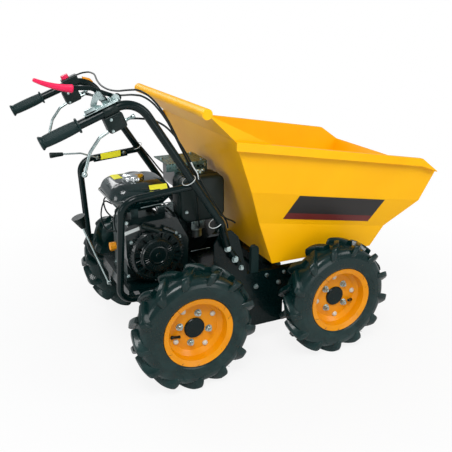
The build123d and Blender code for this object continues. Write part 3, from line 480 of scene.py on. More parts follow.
def wheel_point(radius, offset, turn):
    """A point at a radius and angle from straight up, turned forward, and an offset along Y.

    Radius and offset are in millimetres.
    """
    return np.stack([radius * np.sin(turn), offset, radius * np.cos(turn)], -1) * MM


def carcass():
    """The profile turned about the axle, with three raised rings on each side wall."""
    side = smooth_line(CARCASS_MM, 46)
    for ring, rise in WALL_RINGS_MM:
        side[:, 1] += rise * np.exp(-((side[:, 0] - ring) / 1.3) ** 2)
    profile = np.concatenate([side, (side * (1, -1))[-2::-1]])
    turn = np.linspace(0, 2 * math.pi, 144, endpoint=False)
    radius, turn = np.meshgrid(profile[:, 0], turn, indexing="ij")
    offset = np.repeat(profile[:, 1:], turn.shape[1], 1)
    return patch(wheel_point(radius, offset, turn), wrap_rows=True)


# %% [markdown]
# ## Tyres: the bars
# The bars of the two rows meet in a V, its point forward at the top. Each bar is a ribbon of
# stations from the tread's middle over the shoulder, with a trapezoid across it.

# %% Tyre bars
LUGS, SHOULDER, SINK = 13, 30, 6
# Rows of offset, top radius, base radius, slant in degrees and half width.
LUG_MM = [(-5.0, 204.4, 183.0, 0.0, 10.5), (12.0, 205.0, 183.0, -3.6, 11.0), (26.0, 204.6, 181.0, -7.0, 11.5),
          (37.0, 202.6, 176.0, -10.0, 11.5), (44.5, 199.0, 170.0, -12.4, 11.0),
          (48.6, 190.0, 164.0, -14.0, 10.0), (49.8, 176.0, 160.0, -15.0, 8.5),
          (49.0, 162.0, 155.0, -15.8, 6.5)]
# Rows of a share of the half width and a share of the height from base to top.
LUG_ACROSS = np.array([(-1.35, 0.0), (-1.18, 0.55), (-1.02, 0.9), (-0.86, 1.0), (0.0, 1.02), (0.86, 1.0),
                       (1.02, 0.9), (1.18, 0.55), (1.35, 0.0)])


def lug(start, row):
    """A bar: along each station a trapezoid from the carcass up to the bar's top radius.

    The base lies inside the carcass, past the shoulder also further in along Y, and the row
    (+1 or -1) says on which half the bar is.
    """
    offset, top, base, slant, half = smooth_line(LUG_MM, 20).T
    inward = np.clip((offset - SHOULDER) / 20, 0, 1) * SINK
    across, rise = LUG_ACROSS.T
    radius = base[:, None] + (top - base)[:, None] * rise[None]
    width = half[:, None] * across[None]
    turn = np.radians(slant)[:, None] + width / radius + start
    depth = offset[:, None] - inward[:, None] * (1 - rise)[None]
    return closed(wheel_point(radius, row * depth, turn))


# %% [markdown]
# ## Tyres: the hairs
# A new tyre wears thin rubber hairs, left by the mould's vents. Each is a three-sided tube at a
# chance place, so ninety of them stay light. Then the tyre is set on the four wheels, mirrored on
# the right side so that the machine stays symmetrical.

# %% Tyre hairs
HAIRS, HAIR_SEED, BEAD_ROWS = 90, 5, 12


def whiskers(count):
    """Thin tubes that leave the carcass square to its profile and bend along the turn.

    On the bead's rows they also lean in towards the rim.
    """
    chance = np.random.default_rng(HAIR_SEED)
    side = smooth_line(CARCASS_MM, 46)
    slope = np.gradient(side, axis=0)
    slope /= np.linalg.norm(slope, axis=1)[:, None]
    hairs = []
    for _ in range(count):
        k, row = chance.integers(3, 45), chance.choice((-1, 1))
        reach = np.array([-0.5, 0.5, 1]) * chance.uniform(6, 10)
        turn = chance.uniform(0, 2 * math.pi) + np.array([0, 0.2, 1]) * chance.uniform(-0.03, 0.03)
        radius = side[k][0] - (slope[k][1] + (k < BEAD_ROWS)) * reach
        offset = side[k][1] + slope[k][0] * reach
        hairs.append(tube(wheel_point(radius, row * offset, turn), 0.55, 3))
    return hairs


pitch = 2 * math.pi / LUGS
tyre_patches = [carcass(), *whiskers(HAIRS)]
for k in range(LUGS):
    tyre_patches += [lug(k * pitch, 1), lug((k + 0.5) * pitch, -1)]
WHEELS = [(axle, side) for axle in ("front", "rear") for side in ("right", "left")]
for axle, side in WHEELS:
    centre = middle(f"tyre_{axle}_{side}")
    flip = np.array([1, -1 if side == "right" else 1, 1])
    moved = [(points * flip + centre, faces) for points, faces in tyre_patches]
    body = f"wheel_{axle}_{side}"
    tyre = make_piece(f"lugged_tyre_{axle}_{side}", moved, tyre_black, body, 40)
    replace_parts(tyre, f"tyre_{axle}_{side}")

# %% [markdown]
# ## Wheel bolts
# Two pressed rim halves are held by four round-headed bolts, and the wheel by four nuts around a
# black cap. A rubber valve stem leans out of the rim's dish. Angles are counted from straight
# ahead towards straight up, as seen from the right.

# %% Wheel bolts
NUT_CIRCLE, HEAD_CIRCLE, VALVE_CIRCLE, VALVE_LEAN, VALVE_OUT = 51, 73, 80, 26, 17
WHEEL_TURNS = {"front": 50.0, "rear": 75.0}
VALVE_TURNS = {"front": -23.0, "rear": 193.0}
STUD_MM = [(0, 0), (5, 0), (5, 14.5), (4, 16), (0, 16)]
ROUND_HEAD_MM = [(0, 0), (9, 0), (9, 2.2), (7.6, 4.6), (4.4, 6.2), (0, 6.8)]
VALVE_MM = [(0, 0), (6, 0), (5.6, 6), (4.2, 9), (4.2, 24), (4.8, 25), (4.8, 30), (0, 31)]


def rim_face(axle, side):
    """The middle of the rim's disc and the direction away from the machine."""
    out = NEAR if side == "right" else FAR
    return middle(f"rim_{axle}_{side}") + out * 3 * MM, out


def around(centre, radius, degrees):
    """A point on a circle in the wheel's plane, its radius in millimetres."""
    turn = math.radians(degrees)
    return centre + radius * MM * np.array([math.cos(turn), 0, math.sin(turn)])


for axle, side in WHEELS:
    centre, out = rim_face(axle, side)
    nuts, heads = [], []
    for k in range(4):
        turn = WHEEL_TURNS[axle] + 90 * k
        place = around(centre, NUT_CIRCLE, turn)
        nuts += [hex_bolt(place, out, 17, 9, 0.8), lathe(STUD_MM, place, out, 16)]
        heads.append(lathe(ROUND_HEAD_MM, around(centre, HEAD_CIRCLE, turn + 45), out))
    body = f"wheel_{axle}_{side}"
    make_piece(f"wheel_nuts_{axle}_{side}", nuts, zinc, body)
    make_piece(f"rim_bolts_{axle}_{side}", heads, plastic_pale, body)
    foot = around(centre, VALVE_CIRCLE, VALVE_TURNS[axle])
    tip = around(centre, VALVE_CIRCLE - VALVE_LEAN, VALVE_TURNS[axle]) + out * VALVE_OUT * MM
    stem = lathe(VALVE_MM, foot, tip - foot, 20)
    make_piece(f"valve_stem_{axle}_{side}", [stem], plastic_black, body)

# %% [markdown]
# ## Smooth loops and slabs
# Much of the engine and of the controls is moulded: a rounded rectangle that grows and shrinks along
# an axis. `rounded_loop` is that outline, `cushion` carries it along an axis with soft edges at both
# ends, and `plate` closes a thin sheet between two facing grids.

# %% Moulded shapes
def rounded_loop(long, wide, corner, fine=7):
    """Points round a rectangle whose corners are quarter circles: centre plus radius times direction."""
    turn, sign = corner_turns(fine)
    return sign * (np.array([long, wide]) / 2 - corner) + corner * np.stack([np.cos(turn), np.sin(turn)], -1)


def stack_loops(rows, place, axis, across):
    """Loops of (long, wide, corner, height) rows, closed by a pole at both ends."""
    grid = []
    for long, wide, corner, height in rows:
        loop = rounded_loop(long, wide, corner)
        grid.append(np.column_stack([loop, np.full(len(loop), height)]))
    return closed(np.array(place) + np.stack(grid) * MM @ basis(axis, across))


def cushion(size, corner, edge, place, axis, across):
    """A slab with rounded corners; at both faces it shrinks by edge times (1 - sine) of a quarter turn.

    Its size is its length, its width and its depth along the axis.
    """
    long, wide, depth = size
    quarter = np.linspace(0, math.pi / 2, 6)
    shrink = edge * (1 - np.sin(quarter))
    rise = edge * (1 - np.cos(quarter)) - depth / 2
    shrink, rise = np.concatenate([shrink, shrink[::-1]]), np.concatenate([rise, -rise[::-1]])
    rows = [(long - 2 * s, wide - 2 * s, max(corner - s, corner / 4), h) for s, h in zip(shrink, rise)]
    return stack_loops(rows, place, axis, across)


def plate(front, back):
    """A closed sheet: a front grid, a back grid and the band that joins their edges."""
    edges = [np.concatenate([g[0, :-1], g[:-1, -1], g[-1, :0:-1], g[:0:-1, 0]]) for g in (front, back)]
    return [patch(front, wrap_columns=False), patch(back, wrap_columns=False), patch(np.stack(edges))]


def upright(points, y):
    """Points given as (x, z) in millimetres, set on an upright face at y metres."""
    x, z = np.moveaxis(np.array(points, float), -1, 0)
    return at(x, 0, z) + y * FAR


def ring_wire(place, axis, across, long, wide, radius):
    """A wire round an ellipse."""
    turn = np.linspace(0, 2 * math.pi, 41)
    local = np.stack([long / 2 * np.cos(turn), wide / 2 * np.sin(turn), 0 * turn], -1) * MM
    return tube(np.array(place) + local @ basis(axis, across), radius, 8)


# %% [markdown]
# ## Skip: panel and welds
# The right wall carries a slanted black panel with a dull red foot; it lies on the wall's middle
# band, so its points are found from a length along the rim and a drop below it. Under the skip each
# channel is held by short weld beads.

# %% Skip panel
RIM_SLOPE = math.radians(9.7)
RIM_X, RIM_Z = -118.9, 783.3
BAND_DROPS, BAND_WIDTHS = (0, 156.7, 267.7), (308.3, 287.7, 253.1)
PANEL_START, PANEL_LENGTH, PANEL_LEAN = 277, 357, 30
PANEL_TOP, PANEL_FOOT, FOOT_SHARE = 161, 249, 0.74
RUNNER_Y, RUNNER_HALF, WELD_Z, WELD_LENGTH = 118, 18.5, 329, 34


def side_wall(along, drop, lift):
    """A place on the right wall, from millimetres along the rim and square below it."""
    x = RIM_X + along * math.cos(RIM_SLOPE) - drop * math.sin(RIM_SLOPE)
    z = RIM_Z - along * math.sin(RIM_SLOPE) - drop * math.cos(RIM_SLOPE)
    return at(x, -np.interp(drop, BAND_DROPS, BAND_WIDTHS) - lift, z)


def wall_panel(first, last):
    """A parallelogram on the wall between two shares of its height."""
    share, row = np.meshgrid(np.linspace(0, 1, 12), np.linspace(first, last, 5))
    along = PANEL_START + PANEL_LENGTH * share - PANEL_LEAN * row
    drop = PANEL_TOP + (PANEL_FOOT - PANEL_TOP) * row
    return plate(side_wall(along, drop, 1.0), side_wall(along, drop, -0.4))


make_piece("side_panel", wall_panel(0.0, FOOT_SHARE), panel_black, "skip")
make_piece("side_panel_foot", wall_panel(FOOT_SHARE, 1.0), panel_red, "skip")

beads = []
for side in (-1, 1):
    for edge in (-RUNNER_HALF, RUNNER_HALF):
        y = side * (RUNNER_Y + edge)
        for x in (110, 190, 270, 350):
            line = np.linspace(at(x, y, WELD_Z), at(x + WELD_LENGTH, y, WELD_Z), 24)
            bumps = 3.2 + 0.35 * np.sin(np.arange(24) * 1.9)
            bumps[[0, -1]] *= 0.5
            beads.append(tube(line, bumps, 8))
make_piece("runner_welds", beads, skip_yellow, "skip")

# %% [markdown]
# ## Fuel tank
# Two pressings meet at a seam. The outline is a rounded rectangle all the way up; how far it is drawn
# in at each height is a smooth curve through a few measured rows, so the dome shines without facets.
# The tank sits a little lower than the CAD model's, and its rear end further forward.

# %% Fuel tank
TANK_MOVE_MM = np.array([(17, 2, -12), (3, -2, -12)])
TANK_CORNER, SEAM_Z, SEAM_OUT = 46, 579, 3
# Rows of height above the ground and how far the outline is drawn in.
TANK_MM = [(526, 50), (527, 42), (534, 33), (552, 18), (568, 5), (577, 1.5), (581, 1.5), (592, 4), (606, 10),
           (616, 19), (622.5, 30), (625.5, 44), (626.8, 62), (627.4, 84)]
tank_low, tank_high = np.array(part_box("fuel_tank")) + TANK_MOVE_MM * MM
tank_size, tank_middle = tank_high - tank_low, (tank_low + tank_high) / 2

rows = []
for z, inset in smooth_line(TANK_MM, 160)[np.linspace(0, 159, 64).astype(int)]:
    long, wide = tank_size[:2] / MM - 2 * inset
    rows.append((long, wide, max(TANK_CORNER - inset * 0.45, 6), z))
shell = stack_loops(rows, tank_middle * (1, 1, 0), UP, AHEAD)
tank = make_piece("pressed_tank", [shell], tank_black, crease=60)
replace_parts(tank, "fuel_tank")

seam = rounded_loop(*(tank_size[:2] / MM + SEAM_OUT), TANK_CORNER, 12)
seam = np.vstack([seam, seam[:1]]) * MM + tank_middle[:2]
seam_line = np.column_stack([seam, np.full(len(seam), SEAM_Z * MM)])
make_piece("tank_seam", [tube(seam_line, 2.2, 10)], tank_black)

# %% [markdown]
# ## Tank labels
# A bare label is a thin sheet that follows the tank's crown. A flat one would cut into it, so each
# point of its two grids takes the height of the tank there, a little over it and a little under.

# %% Tank labels
def on_tank(x, y, lift):
    """A point on the tank's crowned top: the profile's height at the distance to the nearest side."""
    to_ends = np.minimum(x - tank_low[0], tank_high[0] - x)
    to_sides = np.minimum(y - tank_low[1], tank_high[1] - y)
    crown, inset = np.transpose(TANK_MM[6:])
    height = np.interp(np.minimum(to_ends, to_sides) / MM, inset, crown)
    return np.stack([x, y, (height + lift) * MM], -1)


labels = []
for x_ends, y_ends in (((-320, -260), (-102, -90)), ((-410, -384), (-8, 46))):
    x, y = np.meshgrid(np.linspace(*x_ends, 9) * MM + mid_x, np.linspace(*y_ends, 9) * MM, indexing="ij")
    labels += plate(on_tank(x, y, 0.9), on_tank(x, y, -0.5))
make_piece("tank_labels_blank", labels, label_yellow)

# %% [markdown]
# ## Tank cap
# The cap is bright, with shallow flutes round its side for the fingers. It is turned on the lathe,
# and then the radius of its side shrinks by a share of a raised cosine, cubed, at each flute.

# %% Tank cap
CAP_MM = [(0, 0), (32, 0), (35.6, 1.5), (36.4, 4), (36, 10), (33, 14.6), (25, 18.4), (12, 20.4), (0, 21)]
CAP_MOVE_MM, FLUTES, FLUTE_SHARE = np.array([4, -9, -13]), 18, 0.035
cap_low = np.array(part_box("fuel_cap")[0])
cap_place = middle("fuel_cap") * (1, 1, 0) + cap_low * UP + CAP_MOVE_MM * MM
cap_points, cap_faces = lathe(smooth_line(CAP_MM, 40), (0, 0, 0), UP, 144)
turn = np.arctan2(cap_points[:, 1], cap_points[:, 0])
side_share = np.clip(1 - np.abs(cap_points[:, 2] / MM - 6) / 5, 0, 1)
cap_points[:, :2] *= (1 - FLUTE_SHARE * side_share * (0.5 + 0.5 * np.cos(FLUTES * turn)) ** 3)[:, None]
cap = make_piece("filler_cap", [(cap_points + cap_place, cap_faces)], bright)
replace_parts(cap, "fuel_cap")

# %% [markdown]
# ## Starter and fan housing
# The starter's cover has rings of small cast ribs outside and inside its slots, screws, and a pull
# handle with a short cord. All are set by a radius and an angle about the crankshaft.

# %% Starter
crank = middle("recoil_cover") * (1, 0, 1) + np.array([0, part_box("fan_housing")[0][1], 0])


def fan_ray(degrees):
    """The direction away from the crankshaft at an angle from straight ahead towards straight up."""
    turn = math.radians(degrees)
    return math.cos(turn) * AHEAD + math.sin(turn) * UP


def on_fan(radius, degrees, lift):
    """A place at a radius and angle about the crankshaft and a lift off the fan housing's face."""
    return crank + (radius * fan_ray(degrees) + lift * NEAR) * MM


# Each ring of ribs: the turns, the radius, the lift, the rib's size, its corner and the corner's steps.
RIB_RINGS = (([7.5 * k for k in range(48) if not 8 <= k <= 15], 85.5, 8, (13, 3.2, 7), 1.1, 3),
             (5 + np.arange(36) * 10, 41.5, 26.4, (15, 2, 2), 0.6, 2),
             (12.86 + np.arange(14) * 360 / 14, 68, 16.8, (16, 3.4, 3), 0.6, 2))
ribs = []
for turns, radius, lift, size, corner, fine in RIB_RINGS:
    for turn in turns:
        ribs.append(rounded_box(size, on_fan(radius, turn, lift), NEAR, fan_ray(turn), corner, fine))
make_piece("starter_ribs", ribs, engine_black)
screws = [hex_bolt(on_fan(93.5, turn, 0.2), NEAR, 8, 5, 1.4) for turn in (28, 150, 268)]
screws += [hex_bolt(upright(place, crank[1]), NEAR, 8, 5, 1.4)
           for place in ((-415, 519), (-252, 461), (-213, 526), (-404, 452))]
make_piece("cowl_screws", screws, zinc)
disc_rows = [(0, 0), (31, 0), (31, 1.6), (29, 2.6), (26, 2.6), (25, 1.8), (9, 2.2), (8, 3.4), (0, 3.8)]
cap_disc = lathe(disc_rows, on_fan(0, 0, 25.6), NEAR, 64)
rings = [ring_wire(on_fan(0, 0, lift), NEAR, AHEAD, wide, wide, 1.1) for wide, lift in ((112, 22), (158, 16))]
make_piece("starter_cap", [cap_disc, *rings], engine_black)

handle_line = route([(-372, -163, 508), (-346, -166, 497), (-318, -163, 484)], 24)
swell = 7.0 + 2.6 * np.abs(np.linspace(-1, 1, 24)) ** 3
cord_line = route([(-345, -160, 496), (-340, -158, 488), (-334, -154, 478)], 12)
handle = [tube(handle_line, swell, 18), tube(cord_line, 2.4, 10)]
make_piece("pull_handle", handle, plastic_black)
# A thin pale strip lies on the fan housing's shoulder.
STRIP_MM = [[(-422, 478), (-374, 490)], [(-423, 489), (-375, 501)]]
strip = plate(*(upright(STRIP_MM, y * MM) for y in (-145.2, -143.6)))
make_piece("cowl_pale_strip", strip, label_white)

# %% [markdown]
# ## Air filter
# The filter is a moulded box with a lid and an elbow to the carburettor. A wing nut and a spring
# clip hold it. The box takes its size from the CAD node that it replaces.

# %% Air filter
filter_low, filter_high = (np.array(corner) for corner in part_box("air_filter"))
long, depth, tall = (filter_high - filter_low) / MM
filter_middle = (filter_low + filter_high) / 2
case = cushion((long, tall, depth), 26, 9, filter_middle, NEAR, AHEAD)
lid_place = filter_middle * (1, 0, 1) + (filter_low[1] + 34 * MM) * FAR
lid = cushion((long + 4, tall + 4, 5), 27, 2, lid_place, NEAR, AHEAD)
elbow = tube(route([(-206, -118, 560), (-214, -122, 588), (-208, -124, 614)], 20), 17, 28)
filter_piece = make_piece("filter_case", [case, lid, elbow], plastic_black, crease=50)
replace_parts(filter_piece, "air_filter")
wing_place = filter_middle * (1, 1, 0) + np.array([8 * MM, 0, filter_high[2]])
wing = [lathe([(0, 0), (9, 0), (9, 2), (5, 3), (4.5, 10), (0, 11)], wing_place, UP)]
for out in (-9, 9):
    wing.append(rounded_box((13, 3, 10), wing_place + (out * AHEAD + 9 * UP) * MM, UP, AHEAD, 1.4))
CLIP_MM = [(-72, -128, 596), (-70, -108, 588), (-70, -92, 560), (-72, -108, 540), (-73, -128, 548)]
clip = tube(route(CLIP_MM, 40), 1.5, 8)
make_piece("filter_hardware", [*wing, clip], zinc)

# %% [markdown]
# ## Carburettor
# Under the filter stand the carburettor's bowl and its screws and levers, all of them turned.

# %% Carburettor
carb_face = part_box("carburettor")[0][1]
BOWL_MM = [(0, 0), (13, 0), (19.6, 3), (20.2, 10), (20.2, 26), (22, 28), (22, 32), (18, 33), (0, 33)]
bowl_place = at(-151, -69, 407)
bowl = lathe(smooth_line(BOWL_MM, 50), bowl_place, UP, 40)
drain = lathe([(0, -5), (5, -5), (6.5, -3), (6.5, 1), (0, 1)], bowl_place, UP, 6)
# Each screw or lever: x, z, radius and reach.
KNOBS_MM = ((-147, 506, 7, 10), (-160, 488, 10, 8), (-141, 484, 6, 14), (-136, 462, 5, 9), (-165, 466, 5, 6))
knobs = []
for x, z, radius, reach in KNOBS_MM:
    rows = [(0, 0), (radius, 0), (radius, reach - 2), (radius - 1.5, reach), (0, reach)]
    knobs.append(lathe(rows, upright((x, z), carb_face), NEAR))
make_piece("carburettor_parts", [bowl, drain, *knobs], zinc)

# %% [markdown]
# ## Filter stay as painted shade, and governor
# A flat dark plate carries the filter; it is partly a stay and partly painted shade that fills the gap
# beside the carburettor. It is made of loops of equal length, first drawn together at its middle, then
# at its outline, near and far. The governor's rods are thin tubes, and its spring is a helix.

# %% Filter stay and governor
# The plate is dark: partly a stay and partly painted shade in the gap beside the carburettor.
STAY_SHADE_MM = [(-150, 392), (-150, 376), (-92, 386), (-66, 404), (-62, 440), (-62, 489), (-120, 489), (-122, 440)]
stay_shade_middle = [(-104, 436)] * len(STAY_SHADE_MM)
faces = ((stay_shade_middle, -44), (STAY_SHADE_MM, -44), (STAY_SHADE_MM, -41), (stay_shade_middle, -41))
stay_shade = patch(np.stack([upright(line, y * MM) for line, y in faces]))
make_piece("filter_stay_shade", [stay_shade], engine_black)

rod = tube(route([(-182, -98, 366), (-146, -100, 368), (-110, -98, 368)], 20), 1.6, 8)
GOVERNOR_MM = [(-352, -98, 546), (-300, -100, 551), (-246, -98, 552), (-236, -96, 544), (-228, -94, 532)]
governor = tube(route(GOVERNOR_MM, 40), 1.8, 8)
share = np.linspace(0, 1, 90)
coil = at(-300 + 52 * share, -96 + 3.4 * np.cos(70 * share), 540 + 3.4 * np.sin(70 * share))
make_piece("governor_rods", [rod, governor, tube(coil, 0.7, 6)], zinc)

# %% [markdown]
# ## Spark plug
# The cylinder points ahead and 25 degrees up. Its head carries a spark plug with a rubber boot, and
# the lead curves back over the block.

# %% Spark plug
HEAD_TILT = math.radians(25)
tilt = np.array([math.cos(HEAD_TILT), 0, math.sin(HEAD_TILT)])
head_end = at(-322, 26, 400) + 175 * MM * tilt
plug = lathe([(0, -2), (10, -2), (10, 4), (6, 5), (6, 18), (0, 18)], head_end, tilt, 6)
boot = lathe([(0, 14), (10, 14), (10.5, 20), (9, 34), (8, 44), (0, 46)], head_end, tilt)
LEAD_MM = np.array([(-92, 24, 500), (-112, -4, 528), (-160, -30, 512), (-214, -52, 470)])
lead_line = smooth_line([head_end + tilt * 40 * MM, *at(*LEAD_MM.T)], 50)
make_piece("spark_plug", [plug], zinc)
make_piece("plug_lead", [boot, tube(lead_line, 3.6)], cable_sheath)

# %% [markdown]
# ## Fasteners on frame and cases
# A table of places and sizes sets each bolt head, so a bolt is one entry. Heads stand on the plates
# they hold, on both sides of the machine. The silencer's guard is held by screws of its own.

# %% Fasteners
SIDES = ((-1, NEAR), (1, FAR))
# Each bolt on both sides: x, distance from the centre plane, z, size and height.
SIDE_BOLTS_MM = [(-102, 223, 409, 17, 8), (-75, 223, 366, 17, 8), (-40, 200, 320, 13, 8),
                 *((x, 200, 273, 11, 6) for x in (-360, -290, -215, 60, 130, 330)),
                 *((x, 198, 236, 13, 7) for x in (-90, 20, 110))]
frame_bolts = [hex_bolt(at(x, side * y, z), out, size, height, 1.3)
               for side, out in SIDES for x, y, z, size, height in SIDE_BOLTS_MM]
frame_bolts += [hex_bolt(at(x, y, 306), UP, 13, 7, 1.3) for x in (-398, -246) for y in (-82, 60)]
make_piece("frame_bolts", frame_bolts, zinc)

case_screws = [hex_bolt(at(x, side * 192, z), out, 10, 5, 1.2)
               for side, out in SIDES for x in range(-240, 241, 60) for z in (162, 248)
               if not (-110 < x < 130 and z < 200)]
make_piece("case_screws", case_screws, frame_black)

guard_low, guard_high = (np.array(corner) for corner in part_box("muffler_guard"))
guard_screws = [hex_bolt(upright((x, 650), guard_low[1]), NEAR, 8, 4, 1.4) for x in (-200, -104)]
for x, y in ((-228, 40), (-106, 76), (-106, -20)):
    guard_screws.append(hex_bolt(at(x, y, 0) + guard_high * UP, UP, 8, 4, 1.4))
make_piece("guard_screws", guard_screws, zinc)

# %% [markdown]
# ## Grips
# The upper tubes rise at 21.6 degrees, so small parts are placed by their distance from the grip's end
# and their height above the tube. A grip is turned, and a cosine round it makes the moulded ribs.

# %% Grips
RISE = math.radians(21.6)
TUBE_AHEAD = np.array([math.cos(RISE), 0.0, math.sin(RISE)])
TUBE_UP = np.array([-math.sin(RISE), 0.0, math.cos(RISE)])
TUBE_Y = 282
GRIP_RIBS, GRIP_RIB_SHARE = 32, 0.016
GRIP_END_MM = [(0, -7.2), (14, -7.2), (18.6, -6.4), (19.4, -4), (19, -1.5), (15, 0.5), (0, 0.5)]


def on_tube(distance, lift, y):
    """A place beside an upper tube, in millimetres from its grip end and above its centre line."""
    return at(-664, y, 823) + (distance * TUBE_AHEAD + lift * TUBE_UP) * MM


sleeves = []
for side in (-1, 1):
    rows = smooth_line([(15.4, 5), (16.4, 16), (17.0, 45), (16.6, 74), (15.6, 95)], 40)
    points, faces = lathe(np.vstack([[12.0, 5], rows, [12.0, 95]]), (0, 0, 0), UP, 160)
    turn = np.arctan2(points[:, 1], points[:, 0])
    points[:, :2] *= (1 + GRIP_RIB_SHARE * np.cos(GRIP_RIBS * turn))[:, None]
    grip_end = on_tube(0, 0, side * TUBE_Y)
    sleeves.append((points @ basis(TUBE_AHEAD, FAR) + grip_end, faces))
    sleeves.append(lathe(GRIP_END_MM, grip_end, TUBE_AHEAD, 48))
make_piece("grip_sleeves", sleeves, grip_black)

# %% [markdown]
# ## Lever housings
# Each housing is a moulded case on a clamp round the tube, with a cover plate, screws and two slots drawn as
# dark strips of painted shade, and a threaded barrel that takes up the cable's slack.

# %% Lever housings
HOUSING_Y = 276
CLAMP_MM = [(0, -20), (14.2, -20), (15, -19), (15, 19), (14.2, 20), (0, 20)]
BARREL_MM = [(0, 0), (6.4, 0), (6.4, 4), (4, 4.2)]
for k in range(9):
    BARREL_MM += [(4.4, 5 + 1.8 * k), (3.7, 5.9 + 1.8 * k)]
BARREL_MM += [(6, 22), (6.4, 23), (6.4, 29), (5, 30.5), (0, 30.5)]
GLAND_MM = [(0, 0), (5.4, 0), (5.4, 7), (4, 8), (3.8, 16), (0, 16)]

housings, metal, slot_shades = [], [], []
for side, outward in SIDES:
    housing_place = on_tube(196, -35.5, side * HOUSING_Y)
    face_place = on_tube(198, -36, side * (HOUSING_Y + 17.6))
    housings.append(cushion((54, 46, 34), 8, 3, housing_place, NEAR, TUBE_AHEAD))
    housings.append(lathe(CLAMP_MM, on_tube(196, 0, side * TUBE_Y), TUBE_AHEAD, 48))
    housings.append(cushion((40, 34, 2), 6, 0.8, face_place, NEAR, TUBE_AHEAD))
    for distance, lift in ((187, -22), (179, -52)):
        for out, off in ((outward, 18.2), (-outward, -17)):
            screw_place = on_tube(distance, lift, side * (HOUSING_Y + off))
            metal.append(hex_bolt(screw_place, out, 6, 2.2, 1.2))
    # The slots are thin dark strips on the cover plate, painted shade for recesses that are not cut.
    for distance in (212, 216.5):
        slot_place = on_tube(distance, -35, side * (HOUSING_Y + 18.4))
        slot_shades.append(rounded_box((1.4, 1.6, 24), slot_place, TUBE_UP, TUBE_AHEAD, 0.6, 3))
    cable_y = -276 if side < 0 else 281
    metal.append(lathe(BARREL_MM, on_tube(223.2, -45, cable_y), TUBE_AHEAD + 0.02 * TUBE_UP))
metal.append(lathe(GLAND_MM, on_tube(223.2, -49, 264), TUBE_AHEAD, 20))
lever_cases = make_piece("lever_cases", housings, plastic_black, crease=50)
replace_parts(lever_cases, "lever_housings")
for x, y, z, size in ((-507, -268.5, 938, 11), (-461, -258.5, 925, 14)):
    metal.append(hex_bolt(at(x, y, z), FAR if y > -260 else NEAR, size, 6, 1.4))
make_piece("control_screws", metal, zinc)
make_piece("housing_slots_painted_shade", slot_shades, panel_black)

# %% [markdown]
# ## Release bracket
# The bracket is a pressed plate with a hole: four loops of equal length, outer and inner, near and far,
# closed in a ring. Three strips and a pin join it to the tube.

# %% Release bracket
def outline(points, count=60):
    """Evenly spaced points along a closed polygon, by its summed edge lengths."""
    points = np.array(points, float)
    ends = np.vstack([points, points[:1]])
    reach = np.concatenate([[0], np.cumsum(np.linalg.norm(np.diff(ends, axis=0), axis=1))])
    want = np.linspace(0, reach[-1], count, endpoint=False)
    return np.stack([np.interp(want, reach, ends[:, k]) for k in (0, 1)], -1)


EAR_MM = [(-527, 885), (-529, 912), (-521, 934), (-511, 946), (-502, 944), (-494, 932), (-484, 919),
          (-472, 929), (-462, 937), (-452, 932), (-446, 916), (-486, 902)]
HOLE_MM = [(-513, 909), (-509, 921), (-503, 924), (-497, 913), (-496, 907)]
loops = [upright(outline(line), y * MM)
         for line, y in ((EAR_MM, -270), (HOLE_MM, -270), (HOLE_MM, -267), (EAR_MM, -267))]
bracket = [patch(np.stack(loops), wrap_rows=True)]
bracket.append(cushion((98, 30, 2.6), 3, 0.8, on_tube(177, 16.5, -282), TUBE_UP, TUBE_AHEAD))
bracket.append(cushion((30, 15, 2.4), 4, 0.8, on_tube(145, 24, -296), NEAR, TUBE_AHEAD))
bracket.append(cushion((98, 6, 2.4), 1.5, 0.8, on_tube(177, 19, -296), NEAR, TUBE_AHEAD))
bracket.append(lathe([(0, 0), (4.5, 0), (4.5, 15), (3.5, 17), (0, 17)], on_tube(206, 17, -288), TUBE_UP, 20))
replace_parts(make_piece("bracket_plate", bracket, zinc), "lever_bracket")

# %% [markdown]
# ## Release handle and gear knob
# Both are tubes whose radius is given at a few shares of their length. The release handle's line
# curves gently, and the tube is flattened across.

# %% Release handle and gear knob
RELEASE_Y, RELEASE_FLAT = -252, 0.72
RELEASE_MM = [(x, RELEASE_Y, z) for x, z in ((-568, 953), (-584, 955), (-613, 961), (-642, 970), (-668, 981))]
swell = np.interp(np.linspace(0, 1, 40), [0, 0.04, 0.2, 0.5, 0.9, 0.97, 1], [9, 11.5, 10.5, 8, 5.6, 5.2, 3.6])
points, faces = tube(route(RELEASE_MM, 40), swell, 24)
points[:, 1] = RELEASE_Y * MM + (points[:, 1] - RELEASE_Y * MM) * RELEASE_FLAT
release_handle = make_piece("release_handle", [(points, faces)], plastic_red)
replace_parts(release_handle, "release_grip")

knob_line = np.linspace(at(-520, 251, 664), at(-566, 251, 663.5), 30)
swell = np.interp(np.linspace(0, 1, 30), [0, 0.05, 0.5, 0.92, 1], [5.5, 6.8, 8.2, 10.2, 9.2])
knob = tube(knob_line, swell, 24)
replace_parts(make_piece("gear_handle", [knob], plastic_black), "gear_knob")

# %% [markdown]
# ## Gear plate
# The plate beside the gear lever is held by two bolts and carries a bare yellow label.

# %% Gear plate
gear_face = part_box("gear_plate")[0][1]
gear_bolts = [hex_bolt(upright(place, gear_face), NEAR, 11, 4, 1.5) for place in ((-399, 638), (-299, 647))]
make_piece("gear_plate_bolts", gear_bolts, zinc)
GEAR_LABEL_MM = [[(-386, 630), (-312, 636)], [(-386, 652), (-312, 658)]]
label = plate(*(upright(GEAR_LABEL_MM, gear_face - lift * MM) for lift in (0.8, -0.4)))
make_piece("gear_label_blank", label, label_yellow)

# %% [markdown]
# ## Engine wiring
# Behind the fan housing two wires and a hose leave the crankcase in loose loops.

